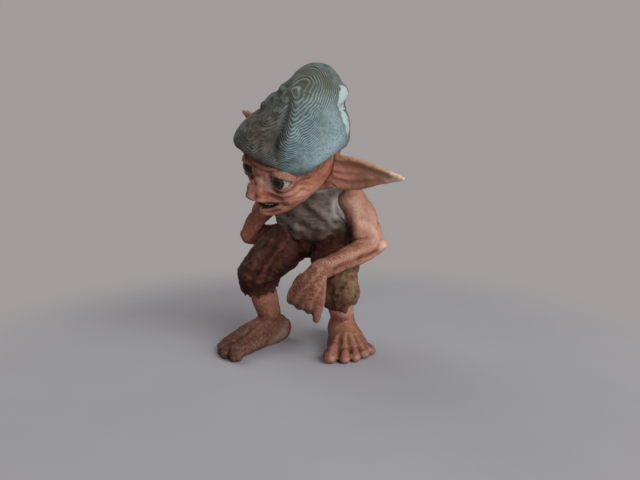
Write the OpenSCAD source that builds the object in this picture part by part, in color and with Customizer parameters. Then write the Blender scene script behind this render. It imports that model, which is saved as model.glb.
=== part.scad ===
// Goblin figurine: a barefoot goblin crouching in a tall soft cap, a vest and ragged shorts.
// Each piece is one colour. The pieces seat on each other, and are pegged and glued.
// Millimetres. The goblin faces -Y, its left is +X, and it stands on Z = 0.

/* [Head] */
// Width of the head across the ears
head_w = 24; // [21:0.5:27]
// Depth of the head from face to nape
head_d = 27; // [25:0.5:29]
// Height of the head from chin to crown
head_h = 28; // [26:0.5:30]
// How far the middle of the head leads the neck
head_forward = 6.5; // [4:0.5:8]
// How far the middle of the head stands above the chest
head_lift = 8; // [7:0.5:10]
// Angle that the face nods down
head_nod = 21; // [10:1:26]
// Angle that the head tips towards its left
head_tilt = 17; // [8:1:24]
// Angle that the head turns to its right
head_turn = 6; // [-6:1:12]
// Diameter of the neck
neck_d = 11; // [9:0.5:12]

/* [Face] */
// How far the nose stands out
nose_out = 5.5; // [3:0.5:7]
// Width of the nose
nose_w = 5.6; // [4:0.2:7]
// How far the brows stand out
brow_out = 1.6; // [0.4:0.2:2.4]
// How far the cheeks stand out
cheek_out = 1.4; // [0.4:0.2:2.4]
// How far the chin stands out
chin_out = 2; // [0.6:0.2:3]
// Width of the mouth
mouth_w = 9.5; // [7:0.5:11]
// Gap between the lips
mouth_open = 2.2; // [1.4:0.2:3]
// Depth of the mouth
mouth_deep = 2; // [1:0.2:2.6]
// Diameter of an eyeball
eye_d = 6; // [5:0.2:7]
// Distance between the middles of the eyes
eye_gap = 12; // [10.5:0.5:13]
// How far an eyeball stands out of the face
eye_out = 2.2; // [1.6:0.2:2.8]

/* [Ears] */
// Length of an ear from the head to its tip
ear_l = 22; // [15:0.5:25]
// Height of an ear at its root
ear_w = 10.8; // [8:0.4:13]
// Thickness of an ear
ear_t = 2.6; // [2:0.2:3.4]
// Depth of the hollow in the front of an ear
ear_scoop_depth = 1.6; // [0.4:0.2:2.4]
// Angle that the ears sweep back
ear_sweep = 12; // [0:1:25]
// Angle that the ears rise
ear_rise = 10; // [0:1:20]

/* [Cap] */
// Width of the cap at its brim
cap_w = 28.4; // [28:0.5:32]
// Depth of the cap at its brim
cap_d = 32; // [31:0.5:35]
// Height of the cap from brim to top
cap_h = 21.2; // [19:0.5:27]
// Height of the brim above the middle of the head
brim_z = 3.2; // [1:0.25:4]
// How far the top of the cap leans back
cap_back = 9.5; // [3:0.5:11]
// How far the top of the cap leans to its right
cap_side_offset = 1.4; // [-2:0.5:5]
// How far the front lobe of the cap bulges
lobe_out = 2.6; // [1:0.2:4]
// How far the cap draws in above its front lobe
lobe_pinch_depth = 2.2; // [0.4:0.2:2.8]
// Depth of the crease between the lobes of the cap
crease_deep = 3; // [0.8:0.2:3.2]
// How far the knobs on the edge of the front lobe stand out
knob_out = 1.4; // [0.3:0.1:1.8]
// Depth of the folds round the back of the cap
fold_deep = 1; // [0.3:0.1:1.4]
// How far the brim rises over the face
front_arch = 3.8; // [2:0.2:4.4]
// How far the brim rises over an ear
ear_arch = 2; // [1:0.2:3]
// How far the brim dips at a temple
temple_dip = 1.6; // [0.4:0.2:2.4]
// How far the brim dips at the nape
nape_dip = 3; // [1:0.2:4]

/* [Vest] */
// Width of the chest
chest_w = 26; // [23:0.5:28]
// Depth of the chest
chest_d = 16.5; // [15:0.5:18]
// Height of the vest's lower edge above the ground
waist_z = 35; // [34:0.5:37]
// Height of the vest from its lower edge to the neck
vest_h = 16.5; // [15:0.5:19]
// Width of the vest at its lower edge
waist_w = 24; // [22:0.5:26]
// How far the neck stands to the left of the waist
lean_side = 1.8; // [0:0.2:3]
// How far the neck stands in front of the waist
lean_front = 1.6; // [0:0.2:3]

/* [Arms] */
// Length of an upper arm from shoulder to elbow
upper_arm_l = 15.2; // [14:0.2:17]
// Length of a forearm from elbow to wrist
forearm_l = 20.2; // [18:0.2:22]
// Width of an upper arm
arm_w = 8.4; // [6.6:0.2:9]
// Thickness of an upper arm
arm_t = 6; // [5.4:0.2:7]
// Diameter of a forearm below the elbow
forearm_d = 6.6; // [5.6:0.2:7.2]
// Diameter of a wrist
wrist_d = 5.6; // [4.6:0.2:6.4]

/* [Hands] */
// Length of a hand from wrist to knuckles
palm_l = 9; // [8:0.5:12]
// Width of a hand at the knuckles
palm_w = 10.5; // [9.5:0.5:13]
// Thickness of a hand
palm_t = 4.6; // [4:0.2:5.4]
// Length of a finger
finger_l = 6; // [5:0.5:9]
// Diameter of a finger
finger_d = 2.9; // [2.5:0.1:3.2]

/* [Shorts] */
// Distance between the hips
hip_gap = 12; // [10:0.5:14]
// Depth of the seat below the waist
seat_deep = 6.6; // [6:0.2:8]
// Length of a thigh from hip to knee
thigh_l = 16.6; // [15:0.2:18]
// Diameter of a thigh in the shorts
thigh_d = 14; // [13:0.2:16]
// Diameter of the shorts at a knee
knee_d = 13; // [12.5:0.25:14]
// Diameter of the shorts at a hem
hem_d = 12.2; // [11.8:0.2:13]
// Distance from the left knee down to the hem
left_hem_drop = 4; // [3.5:0.25:6]
// Distance from the right knee down to the hem
right_hem_drop = 3.25; // [3:0.25:6]
// Depth of the recess above a hem that takes the leg
recess_deep = 3.2; // [2:0.2:4]
// Thickness of the shorts at a hem
hem_wall = 1; // [0.8:0.1:1.2]
// Depth of the ragged teeth along a hem
hem_rag_depth = 2.2; // [0.6:0.2:2.8]

/* [Legs] */
// Diameter of a calf
calf_d = 8.6; // [7:0.2:9]
// Diameter of an ankle
ankle_d = 7; // [5.6:0.2:7.6]
// Height of an ankle above the ground
ankle_z = 8; // [7:0.5:9]
// How far an ankle stands behind the middle of the foot's arch
ankle_back = 1.2; // [0:0.2:2]
// Length of a foot from heel to toes
foot_l = 28; // [24:0.5:30]
// Width of a foot across the toes
foot_w = 15; // [13:0.5:17]
// Height of the instep
instep_z = 8.8; // [7:0.2:9.6]
// Diameter of the big toe
big_toe_d = 4.4; // [3.8:0.2:5]
// How far the left foot stands to the left of the waist
left_foot_side = 6.8; // [5:0.2:9]
// How far the left foot stands behind the waist
left_foot_back = 6.4; // [5:0.2:8]
// Angle that the left foot turns out
left_foot_turn = 43; // [25:1:60]
// How far the right foot stands to the right of the waist
right_foot_side = 12.6; // [11:0.2:15]
// How far the right foot stands in front of the waist
right_foot_front = 7.4; // [6:0.2:9]
// Angle that the right foot turns out
right_foot_turn = 13; // [-5:1:30]

/* [Pegs] */
// Diameter of the neck, waist and cap dowels
dowel_d = 4; // [3:0.5:5]
// Length of the neck, waist and cap dowels
dowel_l = 10; // [8:0.5:12]
// Diameter of the limb and ear dowels, and of the pegs behind the eyes
pin_d = 2; // [1.5:0.1:2.5]
// Length of the limb and ear dowels
pin_l = 6; // [5:0.5:7]
// Room for glue round a dowel
glue_room = 0.1; // [0.05:0.05:0.2]

/* [Hidden] */

skin_colour = "rosybrown";
cap_colour = "lightblue";
vest_colour = "darkgray";
shorts_colour = "saddlebrown";
eye_colour = "black";
dowel_colour = "burlywood";

// Vectors and frames. A frame is [origin, x axis, y axis, z axis].

function unit(v) = v / norm(v);
function sum(list, i = 0) = i < len(list) ? list[i] + sum(list, i + 1) : 0;
function backwards(list) = [for (i = [len(list) - 1:-1:0]) list[i]];
function middle(loop) = [for (k = [0:2]) sum([for (p = loop) p[k]]) / len(loop)];
function hump(d, w) = exp(-(d / w) * (d / w));
function turn_from(a, b) = let (d = (a - b + 540) % 360) d - 180;
function place(f, p) = f[0] + p.x * f[1] + p.y * f[2] + p.z * f[3];
function placed(f, rings) =
    let (right_handed = cross(f[1], f[2]) * f[3] > 0)
    [for (r = rings) let (loop = [for (p = r) place(f, p)]) right_handed ? loop : backwards(loop)];
function frame_along(origin, axis, side) =
    let (z = unit(axis),
         x = unit(side - z * (side * z)))
    [origin, x, cross(z, x), z];
function mirrored(f) = [f[0], -f[1], f[2], f[3]];
module in_frame(f) {
    multmatrix([for (k = [0:2]) [f[1][k], f[2][k], f[3][k], f[0][k]]]) children();
}

// Smooth curve through a list of stations, with t from 0 to the last index

function at(list, t) =
    let (i = min(floor(t), len(list) - 2),
         f = t - i,
         b = list[i],
         c = list[i + 1],
         a = i > 0 ? list[i - 1] : 2 * b - c,
         d = i + 2 < len(list) ? list[i + 2] : 2 * c - b)
    b + f * ((c - a) / 2 + f * (a - 2.5 * b + 2 * c - d / 2 + f * (3 * (b - c) + d - a) / 2));
function spot(s) = [s[0], s[1], s[2]];
function heading(list, t) =
    unit(spot(at(list, min(t + 0.01, len(list) - 1)) - at(list, max(t - 0.01, 0))));

// Loops of points along a limb. A station is [x, y, z, half width along side, half thickness].
// A round end stands out of the first or last station by the height start or end.

dome_angles = [22, 45, 70];
function limb_ring(list, t, side, n, shrink = 1, shift = 0) =
    let (s = at(list, t),
         along = heading(list, t),
         u = unit(side - along * (side * along)),
         v = cross(along, u))
    [for (i = [0:n - 1]) let (a = 360 * i / n)
        spot(s) + shift * along + shrink * (s[3] * cos(a) * u + s[4] * sin(a) * v)];
function limb_rings(list, steps, side, n, start = 0, end = 0) =
    let (last = len(list) - 1)
    concat(
        [for (a = backwards(dome_angles)) if (start > 0)
            limb_ring(list, 0, side, n, cos(a), -start * sin(a))],
        [for (k = [0:steps]) limb_ring(list, last * k / steps, side, n)],
        [for (a = dome_angles) if (end > 0) limb_ring(list, last, side, n, cos(a), end * sin(a))]);

// Closed skin over loops of equal length, closed by a fan at each end
module skin(rings) {
    n = len(rings[0]);
    m = len(rings);
    points = concat([for (r = rings) each r], [middle(rings[0]), middle(rings[m - 1])]);
    faces = concat(
        [for (i = [0:m - 2], j = [0:n - 1]) let (k = (j + 1) % n)
            each [[i * n + j, i * n + n + k, i * n + k], [i * n + j, i * n + n + j, i * n + n + k]]],
        [for (j = [0:n - 1]) [m * n, j, (j + 1) % n]],
        [for (j = [0:n - 1]) [m * n + 1, (m - 1) * n + (j + 1) % n, (m - 1) * n + j]]);
    polyhedron(points, faces, convexity = 6);
}

// How the body is held: waist, chest, limbs and feet

waist = [0, 0, waist_z];
chest_top = waist + [lean_side, -lean_front, vest_h];
left_shoulder = waist + [0.523 * chest_w, 0.012 * chest_d, 0.72 * vest_h];
right_shoulder = waist + [-0.523 * chest_w, -0.145 * chest_d, 0.68 * vest_h];
left_elbow = left_shoulder + upper_arm_l * unit([8.2, -1.6, -12.4]);
left_wrist = left_elbow + forearm_l * unit([-6.5, -18.4, -4.9]);
left_hand_axis = [-2, -4.2, -9.7];
left_hand_side = [0.9, 0.38, 0];
left_curl = [82, 80, 72, 36];
right_elbow = right_shoulder + upper_arm_l * unit([-8.6, -3, -12.6]);
right_wrist = right_elbow + forearm_l * unit([14.6, 14.4, 0.2]);
right_hand_axis = [8.5, 1.2, -1.6];
right_hand_side = [-0.3, 0, -0.95];
right_curl = [16, 18, 20, 22];
left_hip = waist + [0.5 * hip_gap, 0.06 * chest_d, -0.13 * thigh_d];
right_hip = waist + [-0.5 * hip_gap, -0.085 * chest_d, -0.06 * thigh_d];
left_knee = left_hip + thigh_l * unit([9, -10, -9.9]);
right_knee = right_hip + thigh_l * unit([-5.2, -12.4, -9.6]);
// Foot frame: x to the outer side, y to the toes, z up
function foot_frame(foot, turn, s) =
    [foot, [s * cos(turn), sin(turn), 0], [s * sin(turn), -cos(turn), 0], [0, 0, 1]];
left_foot_frame = foot_frame([left_foot_side, left_foot_back, 0], left_foot_turn, 1);
right_foot_frame = foot_frame([-right_foot_side, -right_foot_front, 0], right_foot_turn, -1);
left_ankle = place(left_foot_frame, [0, -ankle_back, ankle_z]);
right_ankle = place(right_foot_frame, [0, -ankle_back, ankle_z]);

// Head frame: x to the head's left, y to its back, z to its crown

function nodded(p) = [p.x, p.y * cos(head_nod) - p.z * sin(head_nod),
    p.y * sin(head_nod) + p.z * cos(head_nod)];
function tilted(p) = [p.x * cos(head_tilt) + p.z * sin(head_tilt), p.y,
    p.z * cos(head_tilt) - p.x * sin(head_tilt)];
function turned(p) = [p.x * cos(head_turn) + p.y * sin(head_turn),
    p.y * cos(head_turn) - p.x * sin(head_turn), p.z];
head_at = chest_top + [0, -head_forward, head_lift];
head_frame = concat([head_at],
    [for (axis = [[1, 0, 0], [0, 1, 0], [0, 0, 1]]) turned(tilted(nodded(axis)))]);

// Head: stations from chin to crown of [height, half width, front, back], as shares of its sizes

head_profile = [
    [-0.460, 0.050, -0.480, -0.420],
    [-0.430, 0.150, -0.540, -0.330],
    [-0.360, 0.260, -0.580, -0.150],
    [-0.240, 0.380, -0.590, 0.100],
    [-0.080, 0.470, -0.590, 0.330],
    [0.120, 0.500, -0.575, 0.430],
    [0.320, 0.430, -0.450, 0.390],
    [0.440, 0.270, -0.230, 0.260],
    [0.500, 0.060, -0.040, 0.080]];
head_sides = 36;
head_steps = 28;
nose_z = -0.13 * head_h;
eye_z = 0.02 * head_h;
brow_z = 0.15 * head_h;
cheek_z = -0.18 * head_h;
mouth_z = -0.315 * head_h;
chin_z = -0.405 * head_h;
// Swellings of the face: [x, z, height, half width, half length]
face_swells = concat(
    [[0, nose_z, nose_out, 0.5 * nose_w, 0.46 * nose_w],
     [0, chin_z, chin_out, 0.11 * head_w, 0.068 * head_h],
     [0, 0.5 * (nose_z + brow_z), 0.22 * nose_out, 0.36 * nose_w, 0.107 * head_h]],
    [for (s = [-1, 1]) each [
        [s * 0.45 * nose_w, nose_z - 0.21 * nose_w, 0.29 * nose_out, 0.27 * nose_w, 0.27 * nose_w],
        [s * 0.48 * eye_gap, brow_z, brow_out, 0.32 * eye_gap, 0.14 * eye_gap],
        [s * 0.64 * eye_gap, cheek_z, cheek_out, 0.23 * eye_gap, 0.22 * eye_gap]]]);
function face_out(x, z) =
    sum([for (b = face_swells) b[2] * hump(x - b[0], b[3]) * hump(z - b[1], b[4])]);
// Points of a loop are closer together on the face than on the nape
function head_ring(t) =
    let (s = at(head_profile, t),
         z = s[0] * head_h,
         y = 0.5 * (s[2] + s[3]) * head_d,
         half = 0.5 * (s[3] - s[2]) * head_d)
    [for (i = [0:head_sides - 1])
        let (q = 360 * i / head_sides - 180,
             a = 90 + q + 30 * sin(q),
             x = s[1] * head_w * cos(a),
             out = max(0, -sin(a)) * face_out(x, z))
        [x + 0.3 * out * cos(a), y + half * sin(a) - out, z]];
head_rings = placed(head_frame,
    [for (k = [0:head_steps]) head_ring((len(head_profile) - 1) * k / head_steps)]);
module head_form() { skin(head_rings); }

neck_axis = unit(head_at - chest_top);
// [share of the lift of the head, share of the diameter across, share of it in depth]
neck_profile = [[-0.4, 0.58, 0.54], [0.6, 0.48, 0.46]];
neck_stations = [for (s = neck_profile)
    concat(chest_top + s[0] * head_lift * neck_axis, [s[1], s[2]] * neck_d)];
module neck_form() { skin(limb_rings(neck_stations, 3, [1, 0, 0], 20)); }

// Face of the head at eye height, before its swellings
eye_station = 4.4;
function face_y(x) =
    let (s = at(head_profile, eye_station))
    (0.5 * (s[2] + s[3]) - 0.5 * (s[3] - s[2]) * sqrt(1 - pow(x / (s[1] * head_w), 2))) * head_d;
eye_y = face_y(0.5 * eye_gap) - eye_out + 0.5 * eye_d;
function eye_frame(s) = frame_along(place(head_frame, [s * 0.5 * eye_gap, eye_y, eye_z]),
    place(head_frame, [s * 0.25, -1, 0]) - head_at, head_frame[1]);
eye_peg_l = 0.5 * (eye_d + pin_l);
module eyeball(s, grow = 0) {
    in_frame(eye_frame(s)) {
        sphere(d = eye_d + 2 * grow, $fn = 64);
        translate([0, 0, -eye_peg_l]) cylinder(d = pin_d + 2 * grow, h = eye_peg_l, $fn = 32);
    }
}
module eyes(grow) { for (s = [-1, 1]) eyeball(s, grow); }

// Mouth: a smiling slit with its corners raised and drawn back
mouth_y = -0.575 * head_d;
mouth_rise = 0.16 * mouth_w;
mouth_bend = 0.23 * mouth_w;
mouth_stations = [for (k = [-2:2]) let (s = k / 2)
    [s * 0.5 * mouth_w, mouth_y + mouth_bend * s * s, mouth_z + mouth_rise * s * s,
     0.5 * mouth_open * (1 - 0.8 * s * s), mouth_deep]];
module mouth_cut() { skin(placed(head_frame, limb_rings(mouth_stations, 10, [0, 0, 1], 12))); }

// Ears: leaf shapes with a hollowed front, from inside the head to the tip

ear_root = [0.46 * head_w, 0.045 * head_d, -0.05 * head_h];
ear_axis = [cos(ear_sweep) * cos(ear_rise), sin(ear_sweep) * cos(ear_rise), sin(ear_rise)];
// [share of the length, share of the width, share of the thickness]
ear_profile = [[-0.15, 0.30, 1.5], [0.08, 0.50, 1.5], [0.3, 0.47, 1.0], [0.6, 0.32, 0.8],
    [0.85, 0.14, 0.55], [1, 0.03, 0.3]];
ear_stations = [for (s = ear_profile)
    concat(ear_root + ear_axis * s[0] * ear_l, [s[1] * ear_w, 0.5 * s[2] * ear_t])];
ear_sides = 16;
ear_steps = 14;
// The middle of the ear's section is pushed back, so that its front is hollow
function scooped(loop) =
    let (c = middle(loop),
         half = norm(loop[0] - c),
         deep = ear_scoop_depth * half / (0.5 * ear_w))
    [for (p = loop) p + [0, deep * (1 - pow((p.z - c.z) / half, 2)), 0]];
ear_loops = [for (r = limb_rings(ear_stations, ear_steps, [0, 0, 1], ear_sides)) scooped(r)];
left_ear_rings = placed(head_frame, ear_loops);
right_ear_rings = placed(mirrored(head_frame), ear_loops);

// Cap: loops from under the brim to the top, with a crease that parts a front lobe from the crown

cap_sides = 40;
cap_steps = 24;
// [share of the height, share of the half width]
cap_profile = [[0, 0.90], [0.1, 1.0], [0.34, 0.96], [0.6, 0.80], [0.82, 0.57], [0.95, 0.32], [1, 0.08]];
cap_y = -0.052 * head_d;
crease_angle = -70;
lobe_angle = -128;
// The crease bends over the front lobe near the top
function crease_turn(rise) = crease_angle - 1200 * pow(max(0, rise - 0.68), 2);
// Knobs, and notches between them: [angle, share of the height, share of the knob, half angle, half height]
cap_knobs = [
    [-136, 0.83, -1.2, 32, 0.05], [-134, 0.76, 0.5, 26, 0.05], [-140, 0.69, -1.2, 32, 0.05],
    [-140, 0.61, 0.6, 28, 0.06], [-144, 0.5, -0.8, 28, 0.06], [-126, 0.36, 0.4, 28, 0.1],
    [24, 0.57, -0.8, 16, 0.06], [30, 0.72, 1.2, 22, 0.1], [22, 0.42, 0.4, 18, 0.1]];
fold_angles = [45, 90, 135, 180];
function brim_wave(a) =
    ear_arch * (hump(turn_from(a, 8), 30) + hump(turn_from(a, 172), 30))
    + front_arch * hump(turn_from(a, -112), 38) - nape_dip * hump(turn_from(a, 90), 40)
    - temple_dip * (hump(turn_from(a, -42), 24) + hump(turn_from(a, -138), 24));
function cap_swell(a, rise) =
    lobe_out * hump(turn_from(a, lobe_angle), 48) * hump(rise - 0.16, 0.24)
    - lobe_pinch_depth * hump(turn_from(a, lobe_angle), 60) * hump(rise - 0.74, 0.24)
    - crease_deep * hump(turn_from(a, crease_turn(rise)), 13) * sin(180 * min(1, 0.08 + rise * 1.1))
    + knob_out * sum([for (k = cap_knobs) k[2] * hump(turn_from(a, k[0]), k[3]) * hump(rise - k[1], k[4])])
    - fold_deep * sum([for (f = fold_angles) hump(turn_from(a, f + 10 * rise), 12)])
        * sin(180 * min(1, rise * 1.15));
function cap_ring(t, scale = 1) =
    let (s = at(cap_profile, t),
         rise = s[0])
    [for (i = [0:cap_sides - 1])
        let (a = 360 * i / cap_sides,
             swell = cap_swell(a, rise))
        [scale * (0.5 * cap_w * s[1] + swell) * cos(a) - cap_side_offset * rise * rise,
         scale * (0.5 * cap_d * s[1] + swell) * sin(a) + cap_y + cap_back * rise * rise,
         brim_z + cap_h * rise + brim_wave(a) * pow(1 - rise, 2)]];
cap_rings = placed(head_frame, concat([cap_ring(0, 0.6)],
    [for (k = [0:cap_steps]) cap_ring((len(cap_profile) - 1) * k / cap_steps)]));
module cap_form() { skin(cap_rings); }

// Vest: from its lower edge to the neck

function vest_at(side, front, up) = waist + [side * lean_side, -front * lean_front, up * vest_h];
vest_stations = [
    concat(vest_at(0, 0, 0), [0.5 * waist_w, 0.47 * chest_d]),
    concat(vest_at(0.06, 0.06, 0.28), [0.5 * chest_w, 0.51 * chest_d]),
    concat(vest_at(0.28, 0.25, 0.56), [0.53 * chest_w, 0.5 * chest_d]),
    concat(vest_at(0.67, 0.62, 0.82), [0.45 * chest_w, 0.4 * chest_d]),
    concat(chest_top, [0.62 * neck_d, 0.57 * neck_d])];
vest_side = [1, 0.1, 0];
vest_rings = limb_rings(vest_stations, 16, vest_side, 30);
module vest_form() { skin(vest_rings); }

// Arms: upper arm, forearm and hand

function arm_side(s) = [s * 0.82, 0.57, 0];
function upper_arm_stations(shoulder, elbow, s) = [
    concat(shoulder, [0.5 * arm_w, 0.6 * arm_t]),
    concat(0.5 * (shoulder + elbow) + arm_w * [s * 0.07, 0, 0.05], [0.5 * arm_w, 0.5 * arm_t]),
    concat(elbow, [0.42 * arm_w, 0.46 * arm_t])];
function forearm_stations(elbow, wrist) = [
    concat(elbow, [0.46, 0.46] * forearm_d),
    concat(elbow + 0.3 * (wrist - elbow), [0.5, 0.5] * forearm_d),
    concat(elbow + 0.75 * (wrist - elbow), [0.5, 0.47] * wrist_d),
    concat(wrist, [0.5, 0.48] * wrist_d)];
function arm_parts(shoulder, elbow, wrist, s) = [
    limb_rings(upper_arm_stations(shoulder, elbow, s), 7, arm_side(s), 16, 0.5 * arm_t, 0.4 * arm_t),
    limb_rings(forearm_stations(elbow, wrist), 7, [0, 0, 1], 16, 0.4 * forearm_d, 0.4 * wrist_d)];

// Hand frame: z along the hand, y out of its back, x away from the thumb

palm_stations = [
    [0, 0, 0, 0.5 * wrist_d, 0.46 * wrist_d],
    [0, 0.04 * palm_t, 0.38 * palm_l, 0.4 * palm_w, 0.5 * palm_t],
    [0, 0.04 * palm_t, 0.75 * palm_l, 0.5 * palm_w, 0.48 * palm_t],
    [0, 0, palm_l, 0.47 * palm_w, 0.42 * palm_t]];
function finger_stations(i, curl) =
    let (x = (i - 1.5) * 0.245 * palm_w,
         z = palm_l - finger_d * (0.17 + 0.12 * abs(i - 1.2)),
         l = finger_l * (1 - 0.06 * abs(i - 1.3)),
         a = curl[i],
         p = [x, 0.04 * palm_t, z],
         q = p + 0.4 * l * [0.06 * (i - 1.5), -sin(0.5 * a), cos(0.5 * a)],
         r = q + 0.35 * l * [0.06 * (i - 1.5), -sin(1.2 * a), cos(1.2 * a)],
         tip = r + 0.2 * l * [0, -sin(1.6 * a), cos(1.6 * a)])
    [for (s = [[p, 0.5], [q, 0.48], [r, 0.44], [tip, 0.36]]) concat(s[0], [s[1], s[1]] * finger_d)];
thumb_stations = [
    concat([-0.28 * palm_w, -0.17 * palm_t, 0.3 * palm_l], [0.55, 0.55] * finger_d),
    concat([-0.42 * palm_w, -0.52 * palm_t, 0.62 * palm_l], [0.52, 0.52] * finger_d),
    concat([-0.4 * palm_w, -0.83 * palm_t, 0.95 * palm_l], [0.4, 0.4] * finger_d)];
finger_sides = 8;
tip_l = 0.4 * finger_d;
function hand_parts(f, curl) = concat(
    [placed(f, limb_rings(palm_stations, 7, [1, 0, 0], 16, 0.4 * wrist_d, 0.35 * palm_t))],
    [for (i = [0:3])
        placed(f, limb_rings(finger_stations(i, curl), 6, [1, 0, 0], finger_sides, 0, tip_l))],
    [placed(f, limb_rings(thumb_stations, 5, [0, 1, 0], finger_sides, 0, tip_l))]);

left_hand_frame = frame_along(left_wrist, left_hand_axis, left_hand_side);
right_hand_frame = mirrored(frame_along(right_wrist, right_hand_axis, right_hand_side));
left_arm_parts = concat(arm_parts(left_shoulder, left_elbow, left_wrist, 1),
    hand_parts(left_hand_frame, left_curl));
right_arm_parts = concat(arm_parts(right_shoulder, right_elbow, right_wrist, -1),
    hand_parts(right_hand_frame, right_curl));

// Shorts: hips, two thighs, and two ragged legs that hang below the knees

hip_stations = [
    concat(waist + [0, 0.024 * chest_d, -seat_deep], [0.28 * waist_w, 0.3 * chest_d]),
    concat(waist + [0, 0.036 * chest_d, -0.6 * seat_deep], [0.42 * waist_w, 0.45 * chest_d]),
    concat(waist + [0, 0, 0.15 * seat_deep], [0.46 * waist_w, 0.44 * chest_d])];
function thigh_stations(hip, knee) = [
    concat(hip, [0.5, 0.5] * thigh_d),
    concat(0.5 * (hip + knee) + [0, 0, 0.03 * thigh_d], [0.5, 0.5] * thigh_d),
    concat(knee, [0.44, 0.44] * knee_d)];
function thigh_rings(hip, knee) =
    limb_rings(thigh_stations(hip, knee), 6, [0, 0, 1], 24, 0.36 * thigh_d, 0.36 * knee_d);
function shin_axis(knee, ankle) = unit(ankle - knee);
function hem_middle(knee, ankle, drop) = knee + drop * shin_axis(knee, ankle);
hem_sides = 30;
hem_teeth = [0.3, 1.1, 0.2, 0.8, 0.35, 1.25, 0.1, 0.7, 0.5, 0.95];
// The last loop of a leg is drawn out into teeth
function leg_rings(knee, ankle, drop) =
    let (axis = shin_axis(knee, ankle),
         hem = hem_middle(knee, ankle, drop),
         stations = [concat(knee, [0.46, 0.46] * knee_d), concat(hem, [0.5, 0.5] * hem_d)],
         rings = limb_rings(stations, 3, [1, 0, 0], hem_sides, 0.36 * knee_d, 0),
         last = rings[len(rings) - 1])
    concat(rings, [[for (i = [0:hem_sides - 1])
        last[i] + axis * hem_rag_depth * hem_teeth[i % len(hem_teeth)]]]);

// Legs and feet

heel_back = 0.3 * foot_l;
toe_front = foot_l - heel_back;
foot_stations = [
    [0, 0.07 * foot_l - heel_back, 0.42 * instep_z, 0.21 * foot_w, 0.44 * instep_z],
    [0, -0.11 * foot_l, 0.46 * instep_z, 0.3 * foot_w, 0.52 * instep_z],
    [0, 0.12 * foot_l, 0.46 * instep_z, 0.34 * foot_w, 0.54 * instep_z],
    [-0.013 * foot_w, 0.3 * foot_l, 0.33 * instep_z, 0.41 * foot_w, 0.43 * instep_z],
    [0, 0.46 * foot_l, 0.21 * instep_z, 0.44 * foot_w, 0.29 * instep_z]];
// Toes from the big one outwards: [share of the width, share of the reach, share of the big toe]
toes = [[-0.44, 0.97, 1.0], [-0.17, 1.0, 0.76], [0.06, 0.94, 0.72], [0.27, 0.84, 0.7], [0.44, 0.7, 0.66]];
function toe_stations(toe) =
    let (x = toe[0] * foot_w,
         y = toe[1] * toe_front,
         r = 0.5 * toe[2] * big_toe_d)
    [[0.62 * x, y - 1.7 * big_toe_d, 0.9 * r, 0.95 * r, 0.95 * r],
     [0.93 * x, y - 0.75 * big_toe_d, 1.15 * r, 0.97 * r, 0.95 * r],
     [x, y - r, 0.85 * r, 1.05 * r, 0.9 * r]];
function toe_rings(toe) = limb_rings(toe_stations(toe), 4, [1, 0, 0], 8, 0, 0.45 * toe[2] * big_toe_d);
function foot_parts(f) = concat(
    [placed(f, limb_rings(foot_stations, 10, [1, 0, 0], 20, 0.065 * foot_l, 0.05 * foot_l))],
    [for (toe = toes) placed(f, toe_rings(toe))]);
function shin_top(knee, ankle, drop) = hem_middle(knee, ankle, drop - recess_deep);
function recess_rings(knee, ankle, drop) =
    let (top = shin_top(knee, ankle, drop),
         half = 0.5 * hem_d - hem_wall,
         mouth = top + 3 * recess_deep * shin_axis(knee, ankle))
    limb_rings([concat(top, [half, half]), concat(mouth, [half, half])], 1, [1, 0, 0], hem_sides);
function shin_rings(knee, ankle, drop) =
    let (top = shin_top(knee, ankle, drop))
    limb_rings([
        concat(top, [0.46, 0.46] * calf_d),
        concat(0.62 * top + 0.38 * ankle, [0.5, 0.5] * calf_d),
        concat(ankle, [0.5, 0.5] * ankle_d),
        concat(ankle - [0, 0, 0.55 * ankle_z], [0.5, 0.5] * ankle_d)], 9, [1, 0, 0], 18);
left_leg_parts = concat([shin_rings(left_knee, left_ankle, left_hem_drop)],
    foot_parts(left_foot_frame));
right_leg_parts = concat([shin_rings(right_knee, right_ankle, right_hem_drop)],
    foot_parts(right_foot_frame));

// Dowels, each as a frame at its middle with z along it

neck_joint = frame_along(chest_top, [0, 0, 1], [1, 0, 0]);
waist_joint = frame_along(waist + [0, 0, 0.15 * seat_deep], [0, 0, 1], [1, 0, 0]);
cap_joint = frame_along(place(head_frame, [0, 0.02 * head_d, 0.5 * head_h]), head_frame[3], head_frame[1]);
// The pin runs in the middle of the ear's bent section
ear_pin = ear_root + [0.04 * head_w, 0.08 * ear_t + 0.8 * ear_scoop_depth, 0.02 * ear_w];
function ear_joint(f) = frame_along(place(f, ear_pin), place(f, ear_axis) - f[0], f[3]);
ear_joints = [ear_joint(head_frame), ear_joint(mirrored(head_frame))];
shoulder_inset = 0.055 * chest_w;
shoulder_joints = [
    frame_along(left_shoulder - [shoulder_inset, 0, 0], [1, 0, 0], [0, 0, 1]),
    frame_along(right_shoulder + [shoulder_inset, 0, 0], [-1, 0, 0], [0, 0, 1])];
function shin_joint(knee, ankle, drop) =
    frame_along(shin_top(knee, ankle, drop), shin_axis(knee, ankle), [1, 0, 0]);
shin_joints = [
    shin_joint(left_knee, left_ankle, left_hem_drop),
    shin_joint(right_knee, right_ankle, right_hem_drop)];
module dowel(f, d, l, grow = 0) {
    in_frame(f) translate([0, 0, -0.5 * l]) cylinder(d = d + 2 * grow, h = l, $fn = 48);
}
module pins(joints, grow = 0) { for (f = joints) dowel(f, pin_d, pin_l, grow); }

// The model's origin: the middle of its box on the ground

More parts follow.
